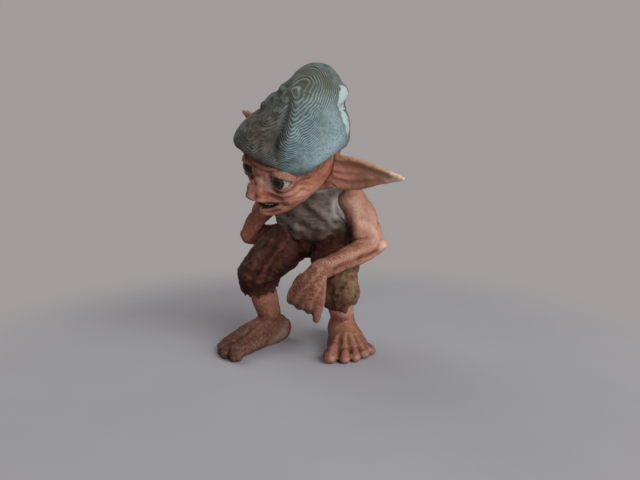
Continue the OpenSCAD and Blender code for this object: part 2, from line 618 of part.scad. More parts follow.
reach = [for (rings = concat([head_rings, cap_rings, left_ear_rings, right_ear_rings, vest_rings],
    left_arm_parts, right_arm_parts, left_leg_parts, right_leg_parts), r = rings, p = r) p];
origin = [0.5 * (min([for (p = reach) p.x]) + max([for (p = reach) p.x])),
    0.5 * (min([for (p = reach) p.y]) + max([for (p = reach) p.y])), 0];
module stand() { translate(-origin) children(); }
module below_ground() {
    w = 10 * foot_l;
    translate([-0.5 * w, -0.5 * w, -foot_l]) cube([w, w, foot_l]);
}

// Pieces

module shorts_form() {
    skin(limb_rings(hip_stations, 6, vest_side, 26));
    skin(thigh_rings(left_hip, left_knee));
    skin(thigh_rings(right_hip, right_knee));
    skin(leg_rings(left_knee, left_ankle, left_hem_drop));
    skin(leg_rings(right_knee, right_ankle, right_hem_drop));
}

module head() {
    color(skin_colour) stand() difference() {
        union() {
            head_form();
            neck_form();
        }
        vest_form();
        mouth_cut();
        eyes(glue_room);
        pins(ear_joints, glue_room);
        dowel(neck_joint, dowel_d, dowel_l, glue_room);
        dowel(cap_joint, dowel_d, dowel_l, glue_room);
    }
}

module cap() {
    color(cap_colour) stand() difference() {
        cap_form();
        head_form();
        eyes(glue_room);
        dowel(cap_joint, dowel_d, dowel_l, glue_room);
    }
}

module ear(rings, joint) {
    color(skin_colour) stand() difference() {
        skin(rings);
        head_form();
        cap_form();
        dowel(joint, pin_d, pin_l, glue_room);
    }
}
module left_ear() { ear(left_ear_rings, ear_joints[0]); }
module right_ear() { ear(right_ear_rings, ear_joints[1]); }

module left_eye() { color(eye_colour) stand() eyeball(1); }
module right_eye() { color(eye_colour) stand() eyeball(-1); }

module vest() {
    color(vest_colour) stand() difference() {
        vest_form();
        pins(shoulder_joints, glue_room);
        dowel(neck_joint, dowel_d, dowel_l, glue_room);
        dowel(waist_joint, dowel_d, dowel_l, glue_room);
    }
}

module shorts() {
    color(shorts_colour) stand() difference() {
        shorts_form();
        vest_form();
        skin(recess_rings(left_knee, left_ankle, left_hem_drop));
        skin(recess_rings(right_knee, right_ankle, right_hem_drop));
        pins(shin_joints, glue_room);
        dowel(waist_joint, dowel_d, dowel_l, glue_room);
    }
}

module arm(parts) {
    color(skin_colour) stand() difference() {
        for (rings = parts) skin(rings);
        vest_form();
        shorts_form();
        pins(shoulder_joints, glue_room);
    }
}
module left_arm() { arm(left_arm_parts); }
module right_arm() { arm(right_arm_parts); }

module leg(parts) {
    color(skin_colour) stand() difference() {
        for (rings = parts) skin(rings);
        below_ground();
        pins(shin_joints, glue_room);
    }
}
module left_leg() { leg(left_leg_parts); }
module right_leg() { leg(right_leg_parts); }

module neck_dowel() { color(dowel_colour) stand() dowel(neck_joint, dowel_d, dowel_l); }
module waist_dowel() { color(dowel_colour) stand() dowel(waist_joint, dowel_d, dowel_l); }
module cap_dowel() { color(dowel_colour) stand() dowel(cap_joint, dowel_d, dowel_l); }
module ear_dowels() { color(dowel_colour) stand() pins(ear_joints); }
module shoulder_dowels() { color(dowel_colour) stand() pins(shoulder_joints); }
module shin_dowels() { color(dowel_colour) stand() pins(shin_joints); }

head();
cap();
left_ear();
right_ear();
left_eye();
right_eye();
vest();
shorts();
left_arm();
right_arm();
left_leg();
right_leg();
neck_dowel();
waist_dowel();
cap_dowel();
ear_dowels();
shoulder_dowels();
shin_dowels();
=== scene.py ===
import bpy
import bmesh
import math
import numpy as np
from mathutils import Matrix, Vector, noise
from mathutils.bvhtree import BVHTree


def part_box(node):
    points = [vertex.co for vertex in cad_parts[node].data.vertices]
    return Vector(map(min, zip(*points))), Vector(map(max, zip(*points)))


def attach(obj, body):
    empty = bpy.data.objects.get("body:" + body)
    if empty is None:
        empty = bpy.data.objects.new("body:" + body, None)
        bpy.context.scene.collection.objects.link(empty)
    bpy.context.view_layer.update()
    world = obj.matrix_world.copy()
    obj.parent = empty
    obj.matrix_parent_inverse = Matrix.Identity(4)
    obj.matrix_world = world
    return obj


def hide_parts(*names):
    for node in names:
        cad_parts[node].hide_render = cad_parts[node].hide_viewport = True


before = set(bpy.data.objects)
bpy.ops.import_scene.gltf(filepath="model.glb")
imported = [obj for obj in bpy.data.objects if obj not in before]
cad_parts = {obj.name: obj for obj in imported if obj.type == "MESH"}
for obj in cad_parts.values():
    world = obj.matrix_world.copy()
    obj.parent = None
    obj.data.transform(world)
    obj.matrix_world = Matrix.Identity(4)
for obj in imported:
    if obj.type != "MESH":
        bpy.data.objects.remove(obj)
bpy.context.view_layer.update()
scene = bpy.context.scene

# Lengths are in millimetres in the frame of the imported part, and places of the view in pixels.

MM = 0.001

# Camera: the photograph's view, from the goblin's front left and a little above

view_wide, view_high, focal = 640, 480, 600.0
sensor = 36
look_at = np.array([1.161, 4.382, 34.5])
turn, pitch, distance = math.radians(35), math.radians(10), 180.0
back = np.array([math.sin(turn) * math.cos(pitch), -math.cos(turn) * math.cos(pitch), math.sin(pitch)])
right = np.array([math.cos(turn), math.sin(turn), 0.0])
up = np.cross(back, right)
eye_point = look_at + distance * back
lens = bpy.data.cameras.new("camera")
lens.sensor_width = sensor
lens.lens = sensor * focal / view_wide
lens.clip_start = 0.005
camera = bpy.data.objects.new("camera", lens)
camera.matrix_world = Matrix.Translation(Vector(eye_point * MM)) @ Matrix(
    (right.tolist(), up.tolist(), back.tolist())).transposed().to_4x4()
scene.collection.objects.link(camera)
scene.camera = camera


def sight(px, py):
    """Direction from the camera through a place of the view."""
    way = (px - view_wide / 2) / focal * right - (py - view_high / 2) / focal * up - back
    return way / np.linalg.norm(way)


# Head frame: x to the head's left, y to its back, z to its crown

head_at = np.array([-1.639, -0.818, 59.5])
nod, tilt, swing = math.radians(21), math.radians(17), math.radians(6)
head_axes = np.array(
    Matrix.Rotation(-swing, 3, "Z") @ Matrix.Rotation(tilt, 3, "Y") @ Matrix.Rotation(nod, 3, "X"))
head_x, head_y, head_z = head_axes.T


def in_head(points):
    return (np.asarray(points) - head_at) @ head_axes


def from_head(points):
    return np.asarray(points) @ head_axes.T + head_at


class Clay:
    """A piece of the figurine as even small faces, in millimetres, to push, smooth and paint."""

    same_point = 0.002
    in_and_out = (0.5, -0.52)
    outside = 80
    casts_between = 6
    round_the_edge = 0.3
    wash_rounds = 8
    both_sides = ("lobe", "deep", "moss", "sky", "printed")
    tiny = 1e-9

    def __init__(self, node, grain, rounds, more=()):
        self.node = node
        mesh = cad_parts[node].data.copy()
        bm = bmesh.new()
        bm.from_mesh(mesh)
        bmesh.ops.remove_doubles(bm, verts=bm.verts, dist=self.same_point * MM)
        for added in more:
            bm.from_mesh(added)
        bm.to_mesh(mesh)
        bm.free()
        self.piece = bpy.data.objects.new(node + "_painted", mesh)
        scene.collection.objects.link(self.piece)
        remesh = self.piece.modifiers.new("grain", "REMESH")
        remesh.mode = "VOXEL"
        remesh.voxel_size = grain * MM
        shape = self.piece.evaluated_get(bpy.context.evaluated_depsgraph_get())
        self.mesh = bpy.data.meshes.new_from_object(shape)
        self.piece.modifiers.clear()
        self.piece.data = self.mesh
        self.count = len(self.mesh.vertices)
        self.co = self.read(self.mesh.vertices, "co") / MM
        ends = np.empty(len(self.mesh.edges) * 2, int)
        self.mesh.edges.foreach_get("vertices", ends)
        self.ends = ends.reshape(-1, 2)
        self.links = np.bincount(ends, minlength=self.count)[:, None]
        self.coats = {}
        self.smooth(rounds)
        self.settle()

    def read(self, items, name):
        values = np.empty(len(items) * 3)
        items.foreach_get(name, values)
        return values.reshape(-1, 3)

    def settle(self):
        """Takes the pushed points into the mesh, and measures its normals and its surface again."""
        self.mesh.vertices.foreach_set("co", (self.co * MM).ravel())
        self.mesh.update()
        self.normal = self.read(self.mesh.vertices, "normal")
        corners = [tuple(p.vertices) for p in self.mesh.polygons]
        self.surface = BVHTree.FromPolygons([tuple(c) for c in self.co], corners)

    def neighbours(self, values):
        """The mean of each point's neighbours."""
        i, j = self.ends.T
        columns = [np.bincount(i, values[j, k], self.count) + np.bincount(j, values[i, k], self.count)
                   for k in range(values.shape[1])]
        return np.stack(columns, 1) / self.links

    def near(self, spot, reach):
        """1 at a point, falling to 0 at about twice its reach."""
        return np.exp(-((self.co - np.array(spot)) ** 2).sum(1) / reach ** 2)

    def smooth(self, rounds, where=None):
        """Evens out the surface without shrinking it."""
        for _ in range(rounds):
            for share in self.in_and_out:
                step = share * (self.neighbours(self.co) - self.co)
                self.co += step if where is None else step * where[:, None]

    def swell(self, amount):
        """Pushes each point out by its amount."""
        self.co += self.normal * amount[:, None]

    def fill(self, rounds, where):
        """Fills the hollows of the surface, and leaves what stands out."""
        for _ in range(rounds):
            lift = ((self.neighbours(self.co) - self.co) * self.normal).sum(1)
            self.swell(np.maximum(lift, 0) * where)
        self.settle()

    def seen(self, *places):
        """Points of the surface at these places of the camera's view."""
        found = []
        for place in places:
            hit = self.surface.ray_cast(Vector(eye_point), Vector(sight(*place)))[0]
            if hit is not None:
                found.append(np.array(hit))
        return found

    def facing(self, azimuth, *places):
        """Points of the surface behind these places, across and up, seen straight from one side."""
        angle = math.radians(azimuth)
        out = np.array([math.sin(angle), -math.cos(angle), 0.0])
        across = np.array([math.cos(angle), math.sin(angle), 0.0])
        sides, heights = np.array(places, float).T
        marks = np.arange(len(places))
        steps = np.linspace(0, len(places) - 1, self.casts_between * (len(places) - 1) + 1)
        found = []
        for side, high in zip(np.interp(steps, marks, sides), np.interp(steps, marks, heights)):
            start = self.outside * out + side * across + [0, 0, high]
            hit = self.surface.ray_cast(Vector(start), Vector(-out))[0]
            if hit is not None:
                found.append(np.array(hit))
        return found

    def apart(self, node):
        """How far each point is from another node's solid."""
        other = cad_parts[node].data
        corners = [tuple(p.vertices) for p in other.polygons]
        solid = BVHTree.FromPolygons([v.co / MM for v in other.vertices], corners)
        return np.array([solid.find_nearest(Vector(c))[3] for c in self.co])

    def mirrored(self, path):
        """The same path on the other half of the head."""
        turned = from_head(in_head(path) * [-1, 1, 1])
        return [np.array(self.surface.find_nearest(Vector(p))[0]) for p in turned]

    def nearness(self, path, width, one_side=True):
        """1 on the path, falling to 0 a few widths away, on its side of the surface or on both."""
        path = np.asarray(path, float)
        if not len(path):
            return np.zeros(self.count)
        starts = path[:-1] if len(path) > 1 else path
        ways = path[1:] - path[:-1] if len(path) > 1 else np.zeros((1, 3))
        best = np.full(self.count, np.inf)
        for a, d in zip(starts, ways):
            share = np.clip(((self.co - a) @ d) / max(d @ d, self.tiny), 0, 1)
            best = np.minimum(best, ((self.co - a - share[:, None] * d) ** 2).sum(1))
        near = np.exp(-best / width ** 2)
        if one_side:
            out = self.normal[np.argmin(((self.co - path[len(path) // 2]) ** 2).sum(1))]
            near *= np.clip(self.round_the_edge + self.normal @ out, 0, 1)
        return near

    def ridge(self, path, width, height, one_side=True):
        """Raises the surface along a path, or lowers it where the height is negative."""
        self.swell(height * self.nearness(path, width, one_side))

    def draw(self, strokes):
        """Ridges and grooves at places of the camera's view: width, height and places."""
        for width, height, *places in strokes:
            self.ridge(self.seen(*places), width, height)

    def sculpt(self, strokes):
        """Ridges and grooves, each drawn from one side: azimuth, width, height and places."""
        for azimuth, width, height, *places in strokes:
            self.ridge(self.facing(azimuth, *places), width, height)
        self.settle()

    def uneven(self, size, seed):
        """Noise from about -1 to 1, in patches of about this size."""
        shift = Vector((seed * 7.3, seed * 3.1, seed * 5.7))
        return np.array([noise.noise(Vector(c) / size + shift) for c in self.co])

    def lump(self, size, height, seed):
        """Uneven swelling of about this size all over the surface."""
        self.swell(height * self.uneven(size, seed))

    def coat(self, name, amount):
        """Paint that one finish reads, from 0 to 1."""
        before = self.coats.get(name, np.zeros(self.count))
        self.coats[name] = np.clip(np.maximum(before, amount), 0, 1)

    def brush(self, strokes):
        """Paint at places of the camera's view: coat, amount, width and places."""
        for name, amount, width, *places in strokes:
            one_side = name not in self.both_sides
            self.coat(name, amount * self.nearness(self.seen(*places), width, one_side))

    def done(self, finish, slot, proud=0.0):
        """Measures the hollows for the wash, keeps to the node's box, and stands in for the node."""
        low, high = (np.array(c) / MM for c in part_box(self.node))
        self.co = np.clip(self.co, low - [proud, proud, 0], high + proud)
        self.settle()
        even = self.co.copy()
        for _ in range(self.wash_rounds):
            even = self.neighbours(even)
        deep = ((even - self.co) * self.normal).sum(1)
        deep = deep / (np.std(deep) + self.tiny)
        self.coats["hollow"] = np.clip(0.5 + 0.25 * deep, 0, 1)
        for name, amount in self.coats.items():
            layer = self.mesh.attributes.new(name, "FLOAT", "POINT")
            layer.data.foreach_set("value", amount.astype(np.float32))
        smooth_shaded(self.mesh)
        settle_piece(self.piece, finish, slot, self.node)


def smooth_shaded(mesh):
    mesh.polygons.foreach_set("use_smooth", np.ones(len(mesh.polygons), bool))


def settle_piece(piece, finish, slot, *nodes):
    piece.data.materials.clear()
    piece.data.materials.append(finish)
    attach(piece, "root")
    if nodes:
        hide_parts(*nodes)


def made_piece(name, bm):
    """A smooth object of this name, at the origin, from a bmesh that it uses up."""
    mesh = bpy.data.meshes.new(name)
    bm.to_mesh(mesh)
    bm.free()
    smooth_shaded(mesh)
    piece = bpy.data.objects.new(name, mesh)
    scene.collection.objects.link(piece)
    return piece


# Finishes. The figurine was printed in layers across this axis.

print_axis = (0.30, -0.78, 0.55)


class Paint:
    """Nodes of one painted finish."""

    def __init__(self, name):
        self.material = bpy.data.materials.new(name)
        self.material.use_nodes = True
        self.tree = self.material.node_tree
        self.shader = self.tree.nodes["Principled BSDF"]
        self.place = self.add("ShaderNodeTexCoord").outputs["Object"]

    def join(self, node, inputs):
        """Links the sockets among a node's inputs, and sets the others to their values."""
        for key, value in inputs.items():
            if isinstance(value, bpy.types.NodeSocket):
                self.tree.links.new(value, node.inputs[key])
            else:
                node.inputs[key].default_value = value

    def add(self, kind, inputs=None, **settings):
        node = self.tree.nodes.new(kind)
        for key, value in settings.items():
            setattr(node, key, value)
        self.join(node, inputs or {})
        return node

    def grain(self, size, detail=3.0, rough=0.55, warp=0.0, place=None):
        """Noise with marks of about this size in millimetres."""
        return self.add("ShaderNodeTexNoise", {
            "Vector": place or self.place, "Scale": 1 / (size * MM), "Detail": detail,
            "Roughness": rough, "Distortion": warp}).outputs["Fac"]

    def turned(self, angles, stretch):
        """Object coordinates turned and stretched, for marks that run one way."""
        return self.add("ShaderNodeMapping", {
            "Vector": self.place, "Rotation": angles, "Scale": stretch}).outputs["Vector"]

    def ramp(self, value, low, high, start=0.0, end=1.0):
        return self.add("ShaderNodeMapRange", {
            "Value": value, "From Min": low, "From Max": high, "To Min": start, "To Max": end},
            interpolation_type="SMOOTHSTEP").outputs["Result"]

    def times(self, a, b):
        return self.add("ShaderNodeMath", {0: a, 1: b}, operation="MULTIPLY").outputs[0]

    def plus(self, a, b):
        return self.add("ShaderNodeMath", {0: a, 1: b}, operation="ADD").outputs[0]

    def coat(self, name):
        return self.add("ShaderNodeAttribute", attribute_name=name).outputs["Fac"]

    def mix(self, share, a, b):
        full = [c + (1.0,) if isinstance(c, tuple) else c for c in (a, b)]
        return self.add("ShaderNodeMix", {0: share, 6: full[0], 7: full[1]}, data_type="RGBA").outputs[2]

    def base(self, share, dark, light):
        """The first paint, from a dark tone to a light one."""
        self.colour = self.mix(share, dark, light)

    def cover(self, share, tone):
        """A tone over the paint so far."""
        self.colour = self.mix(share, self.colour, tone)

    def glaze(self, share, strength, tone):
        """A thin tone over the paint so far."""
        self.cover(self.times(share, strength), tone)

    def layers(self, pitch, waver):
        """Lines of the printed layers, from -1 between two layers to 1 on the middle of one."""
        height = self.add("ShaderNodeVectorMath", {0: self.place, 1: print_axis},
                          operation="DOT_PRODUCT").outputs["Value"]
        bent = self.plus(height, self.times(waver, pitch * MM))
        return self.add("ShaderNodeMath", {0: self.times(bent, 2 * math.pi / (pitch * MM))},
                        operation="SINE").outputs[0]

    def bump(self, height, strength, depth, before=None):
        inputs = {"Height": height, "Strength": strength, "Distance": depth * MM}
        if before is not None:
            inputs["Normal"] = before
        return self.add("ShaderNodeBump", inputs).outputs["Normal"]

    def finish(self, roughness, normal, specular):
        self.join(self.shader, {
            "Base Color": self.colour, "Roughness": roughness, "Specular IOR Level": specular})
        if normal is not None:
            self.join(self.shader, {"Normal": normal})
        return self.material


def skin_paint():
    """Pinkish brown, dry brushed lighter on what stands out, with a dark wash in the hollows, and painted
    highlights and painted shade over it.
    """
    ruddy = (0.272, 0.078, 0.043)
    fair = (0.385, 0.155, 0.098)
    # Dark brown: dirt on the hands and feet, and painted shade under the cap's brim, round the eyes, beside
    # the nose, over the right arm and low on the right leg.
    earth_and_shade_brown = (0.118, 0.040, 0.022)
    rose = (0.29, 0.060, 0.038)
    dry_brush = (0.50, 0.28, 0.19)
    freckle = (0.15, 0.046, 0.028)
    layer_edge = (0.48, 0.285, 0.20)
    layer_gap = (0.16, 0.055, 0.034)
    raised = (0.50, 0.30, 0.22)
    wash = (0.085, 0.026, 0.017)
    # Pink-red: partly the skin's own redness, partly painted highlight on the cheek, the ear roots and the
    # left shin.
    blush_and_highlight = (0.60, 0.262, 0.182)
    # Painted highlight, a warm yellow, on the ear's upper rim and tip and on the left instep.
    highlight_gold = (0.46, 0.25, 0.125)
    # Painted highlight, light pink, on the elbow, the upper arm, the cheek, an ear tip, the toe tips and the
    # shins.
    highlight_chalk = (0.74, 0.51, 0.405)
    # Dark mud, which also serves as painted shade beside the nose and over the right foot.
    mud_and_shade_dark = (0.034, 0.017, 0.011)
    dry_mud = (0.42, 0.31, 0.24)
    # Dark red inside the mouth, which also stands in for its shade, and painted shade in the crease round
    # each eyeball.
    mouth_red_and_crease_shade = (0.034, 0.011, 0.008)
    p = Paint("skin_paint")
    hollow = p.coat("hollow")
    lines = p.layers(0.36, p.grain(3))
    p.base(p.ramp(p.grain(6, 3), 0.36, 0.64), ruddy, fair)
    p.glaze(p.coat("earth_and_shade"), 0.9, earth_and_shade_brown)
    p.glaze(p.coat("rosy"), 0.8, rose)
    p.glaze(p.ramp(p.grain(0.7, 4, 0.7), 0.48, 0.62), 0.26, dry_brush)
    p.glaze(p.ramp(p.grain(0.8, 3, 0.6, 0.5), 0.57, 0.70), 0.28, freckle)
    patches = p.ramp(p.grain(3, 3), 0.42, 0.62, 0.02, 0.24)
    patchy = p.plus(patches, p.times(p.coat("printed"), 0.62))
    p.glaze(p.ramp(lines, 0.1, 0.9), patchy, layer_edge)
    p.glaze(p.ramp(lines, -0.2, -0.9), p.times(patchy, 0.8), layer_gap)
    p.glaze(p.ramp(hollow, 0.42, 0.1), 0.22, raised)
    p.glaze(p.ramp(hollow, 0.56, 0.95), 0.7, wash)
    p.glaze(p.coat("flush_and_highlight"), 0.85, blush_and_highlight)
    p.glaze(p.coat("gold_highlight"), 0.7, highlight_gold)
    p.glaze(p.coat("painted_highlight"), 0.8, highlight_chalk)
    thick = p.ramp(p.grain(1.0, 4, 0.7), 0.34, 0.56, 1.0, 0.72)
    p.glaze(p.coat("mud_and_shade"), thick, mud_and_shade_dark)
    crumbs = p.times(p.coat("mud_and_shade"), p.ramp(p.grain(0.35, 3, 0.6), 0.62, 0.72))
    p.glaze(crumbs, 0.6, dry_mud)
    p.cover(p.coat("dark"), mouth_red_and_crease_shade)
    normal = p.bump(p.grain(0.5, 4, 0.65), 0.4, 0.12)
    normal = p.bump(lines, 0.35, 0.06, normal)
    return p.finish(p.ramp(p.grain(1.2), 0.3, 0.7, 0.55, 0.75), normal, 0.1)


def cap_paint():
    """Blue-green over printed layer lines, with worn white edges, painted shade in deep blue, painted
    highlights in light blue, and dark brown on the front lobe that is partly a brown wash and partly painted
    shade.
    """
    dark_green = (0.054, 0.075, 0.068)
    grey_green = (0.108, 0.145, 0.136)
    # Painted shade, deep blue, low on the front and in the back folds.
    shade_blue = (0.065, 0.112, 0.125)
    pale_blue = (0.25, 0.325, 0.325)
    # Painted highlight, light blue, on the lit lower right and on the ridges of the back folds.
    highlight_sky_blue = (0.33, 0.435, 0.455)
    streak_blue = (0.06, 0.125, 0.15)
    # The front lobe's dark browns: partly a brown wash, partly painted shade.
    lobe_shade_umber = (0.032, 0.018, 0.011)
    taupe = (0.075, 0.049, 0.033)
    moss = (0.068, 0.064, 0.038)
    layer_edge = (0.36, 0.44, 0.43)
    layer_gap = (0.048, 0.064, 0.062)
    wash = (0.05, 0.052, 0.047)
    white = (0.41, 0.49, 0.475)
    brush_way = (0.0, -0.65, 0.6)
    p = Paint("cap_paint")
    hollow = p.coat("hollow")
    lines = p.layers(0.30, p.grain(7, 2))
    p.base(p.ramp(p.grain(8, 3), 0.35, 0.66), dark_green, grey_green)
    p.glaze(p.coat("deep"), 0.8, shade_blue)
    strokes = p.grain(0.9, 3, 0.6, place=p.turned(brush_way, (0.14, 1.0, 1.0)))
    p.glaze(p.ramp(strokes, 0.42, 0.62), 0.36, pale_blue)
    p.glaze(p.coat("sky"), 0.75, highlight_sky_blue)
    brushed = p.grain(0.55, 3, 0.6, place=p.turned(brush_way, (0.12, 1.0, 1.0)))
    streaks = p.times(p.ramp(brushed, 0.50, 0.60), p.ramp(p.coat("sky"), 0.1, 0.7))
    p.glaze(streaks, 0.55, streak_blue)
    lobe = p.mix(p.ramp(p.grain(2.4, 4, 0.6), 0.36, 0.66), lobe_shade_umber, taupe)
    p.glaze(p.coat("lobe"), 0.92, lobe)
    p.glaze(p.coat("moss"), 0.85, moss)
    patchy = p.ramp(p.grain(4, 3), 0.34, 0.6, 0.3, 1.0)
    shown = p.times(patchy, p.ramp(p.coat("lobe"), 0.0, 1.0, 1.0, 0.35))
    p.glaze(p.ramp(lines, 0.0, 0.9), p.times(shown, 0.42), layer_edge)
    p.glaze(p.ramp(lines, -0.2, -0.9), p.times(patchy, 0.45), layer_gap)
    p.glaze(p.ramp(hollow, 0.60, 0.98), 0.65, wash)
    broken = p.plus(p.coat("worn"), p.ramp(p.grain(1.6, 4, 0.65), 0.3, 0.7, -0.28, 0.28))
    p.glaze(p.ramp(broken, 0.28, 0.60), 0.9, white)
    normal = p.bump(lines, 0.6, 0.10)
    normal = p.bump(p.grain(0.8, 4, 0.6), 0.3, 0.12, normal)
    return p.finish(p.ramp(p.grain(1.5), 0.3, 0.7, 0.55, 0.75), normal, 0.14)


def vest_paint():
    """Grey-taupe put on with a dry brush, in streaks across the chest."""
    taupe = (0.082, 0.055, 0.042)
    light_taupe = (0.138, 0.100, 0.080)
    dry_brush = (0.195, 0.158, 0.132)
    raised = (0.24, 0.205, 0.175)
    wash = (0.04, 0.028, 0.02)
    low_darkening = (0.050, 0.023, 0.014)
    bare_thread = (0.48, 0.45, 0.40)
    p = Paint("vest_paint")
    hollow = p.coat("hollow")
    p.base(p.ramp(p.grain(6, 3), 0.35, 0.65), taupe, light_taupe)
    across = p.turned((0.0, 0.35, 0.5), (0.14, 0.5, 1.0))
    streaks = p.ramp(p.grain(0.8, 4, 0.6, place=across), 0.42, 0.66)
    p.glaze(streaks, 0.55, dry_brush)
    p.glaze(p.ramp(hollow, 0.44, 0.1), 0.4, raised)
    p.glaze(p.ramp(hollow, 0.55, 0.95), 0.85, wash)
    p.glaze(p.coat("darker_low"), 0.85, low_darkening)
    p.glaze(p.coat("frayed"), 0.75, bare_thread)
    normal = p.bump(p.grain(0.6, 4, 0.65), 0.5, 0.12)
    normal = p.bump(streaks, 0.3, 0.1, normal)
    return p.finish(0.72, normal, 0.1)


def shorts_paint():
    """Dark brown, patchy, with olive over the left leg that is partly the cloth's colour and partly painted
    light, and less of it where painted shadow falls.
    """
    black_brown = (0.024, 0.0060, 0.0036)
    brown = (0.050, 0.0145, 0.0085)
    rubbed_brown = (0.105, 0.044, 0.027)
    # The olive is partly the cloth's colour and partly painted light on the lit left leg.
    dark_olive = (0.092, 0.050, 0.025)
    olive = (0.235, 0.142, 0.070)
    raised = (0.14, 0.070, 0.044)
    wash = (0.013, 0.006, 0.005)
    p = Paint("shorts_paint")
    hollow = p.coat("hollow")
    p.base(p.ramp(p.grain(5, 4), 0.36, 0.66), black_brown, brown)
    p.glaze(p.ramp(p.grain(1.4, 4, 0.65, 0.4), 0.50, 0.70), 0.32, rubbed_brown)
    olives = p.mix(p.ramp(p.grain(1.8, 4, 0.65), 0.36, 0.66), dark_olive, olive)
    p.glaze(p.coat("olive"), 0.85, olives)
    p.glaze(p.ramp(hollow, 0.42, 0.08), 0.3, raised)
    p.glaze(p.ramp(hollow, 0.55, 0.95), 0.85, wash)
    normal = p.bump(p.grain(0.7, 4, 0.65), 0.6, 0.16)
    return p.finish(p.ramp(p.grain(1.2), 0.3, 0.7, 0.55, 0.8), normal, 0.1)


def eye_paint(name, pupil):
    """A gloss dark iris on a dull white, round the point where the eye looks out, with painted shade on the
    white towards the lids.
    """
    grey_white = (0.17, 0.155, 0.135)
    dull_white = (0.36, 0.345, 0.31)
    corner_shade = (0.13, 0.085, 0.065)
    iris_dark = (0.016, 0.012, 0.008)
    iris_light = (0.045, 0.036, 0.022)
    iris_rim = (0.022, 0.017, 0.012)
    black = (0.006, 0.005, 0.004)
    p = Paint(name)
    away = p.add("ShaderNodeVectorMath", {0: p.place, 1: tuple(pupil * MM)},
                 operation="DISTANCE").outputs["Value"]
    ragged = p.plus(away, p.times(p.grain(0.5), 0.5 * MM))
    p.base(p.ramp(p.grain(1.2, 3), 0.4, 0.65), grey_white, dull_white)
    # Painted shade: the white darkens towards the lids.
    p.cover(p.ramp(away, 2.8 * MM, 3.9 * MM), corner_shade)
    iris = p.mix(p.ramp(p.grain(0.35, 3, 0.6), 0.4, 0.62), iris_dark, iris_light)
    p.cover(p.ramp(ragged, 2.45 * MM, 1.95 * MM), iris_rim)
    p.cover(p.ramp(ragged, 1.85 * MM, 1.60 * MM), iris)
    p.cover(p.ramp(ragged, 1.25 * MM, 1.05 * MM), black)
    return p.finish(0.2, None, 0.22)


def tooth_paint():
    """Yellowed ivory."""
    ivory = (0.42, 0.36, 0.27)
    light_ivory = (0.62, 0.57, 0.48)
    p = Paint("tooth_paint")
    p.base(p.ramp(p.grain(0.8), 0.35, 0.65), ivory, light_ivory)
    return p.finish(0.4, None, 0.4)


def wood_paint():
    """Pale birch with fine long grain, as a cut dowel has it."""
    birch = (0.38, 0.24, 0.13)
    light_birch = (0.58, 0.42, 0.26)
    pore_brown = (0.20, 0.11, 0.055)
    p = Paint("dowel_wood")
    along = p.turned((0.0, 0.0, 0.0), (1.0, 1.0, 0.12))
    p.base(p.ramp(p.grain(0.6, 4, 0.6, 0.4, along), 0.36, 0.64), birch, light_birch)
    pores = p.ramp(p.grain(0.18, 3, 0.6, 0.0, along), 0.58, 0.70)
    p.glaze(pores, 0.6, pore_brown)
    return p.finish(p.ramp(p.grain(0.5), 0.3, 0.7, 0.55, 0.7), p.bump(pores, 0.3, 0.04), 0.3)


skin = skin_paint()
cap_finish = cap_paint()
vest_finish = vest_paint()
shorts_finish = shorts_paint()
wood = wood_paint()
for name in ("neck_dowel", "waist_dowel", "cap_dowel", "ear_dowels", "shoulder_dowels", "shin_dowels"):
    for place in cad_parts[name].material_slots:
        place.material = wood


# Cap. A notch or knob of its edge runs over the edge, away from the camera.

cap_crease = (
    (286, 88), (289, 97), (288, 108), (285, 120), (280, 131), (275, 141), (273, 151), (277, 161))
beside_crease = ((293, 92), (296, 105), (293, 120), (288, 134), (284, 148))
over_edge = 6
cap_notches = (
    (0.8, -1.0, (288, 86)), (1.1, 0.5, (284, 90)), (0.8, -1.0, (280, 94)),
    (1.1, 0.5, (274, 98)), (0.8, -0.9, (270, 102)), (1.1, 0.5, (264, 106)),
    (0.8, -0.8, (259, 111)), (1.1, 0.4, (253, 117)), (0.8, -0.7, (247, 125)),
    (1.5, 0.4, (343, 90)), (1.5, 0.4, (346, 126)))
cap_wrinkles = (
    (1.0, -0.3, (349, 107), (343, 109), (337, 106)),
    (1.0, -0.3, (316, 112), (324, 126), (326, 142), (320, 158)),
    (1.0, -0.3, (300, 130), (306, 142), (308, 158)),
    (1.0, -0.3, (262, 128), (256, 136), (258, 146)))
cap_back_folds = (
    (180, 1.6, -0.5, (-2, 80), (-4, 74), (-7, 66), (-8, 60)),
    (180, 2.0, 0.4, (2, 80), (1, 72), (-1, 64), (-2, 58)),
    (180, 1.5, -0.5, (6, 79), (7, 72), (7, 65), (6, 58)),
    (180, 1.6, 0.4, (10, 74), (12, 68), (13, 62)),
    (240, 1.4, -0.45, (2, 80), (5, 74), (7, 67)),
    (240, 1.4, -0.45, (-3, 78), (-5, 71), (-6, 64)),
    (120, 1.5, -0.5, (-2, 79), (-3, 71), (-2, 62)),
    (120, 1.4, -0.4, (5, 76), (7, 69), (8, 61)))
lobe_places = ((262, 112), (258, 126), (254, 138), (262, 146))
lobe_wide, lobe_past_crease, lobe_fade, lobe_rough = 7.5, 1.5, 2.5, 0.3
cap_brush = (
    ("lobe", 0.6, 3.2, (290, 84), (302, 74), (316, 72)),
    # Painted shade low on the front.
    ("deep", 1.0, 3.5, (290, 150), (305, 154), (320, 152), (334, 146)),
    ("deep", 0.8, 4.0, (300, 118), (314, 124)),
    ("moss", 1.0, 6.0, (296, 84), (306, 78), (318, 76), (330, 86)),
    # Painted highlight on the lit lower right.
    ("sky", 1.0, 3.6, (318, 160), (330, 150), (340, 138)),
    ("sky", 0.8, 3.2, (332, 112), (336, 126)),
    ("worn", 1.0, 1.7, (341, 78), (345, 90), (343, 101), (341, 108)),
    ("worn", 0.9, 1.2, (344, 113), (346, 122), (348, 131)))
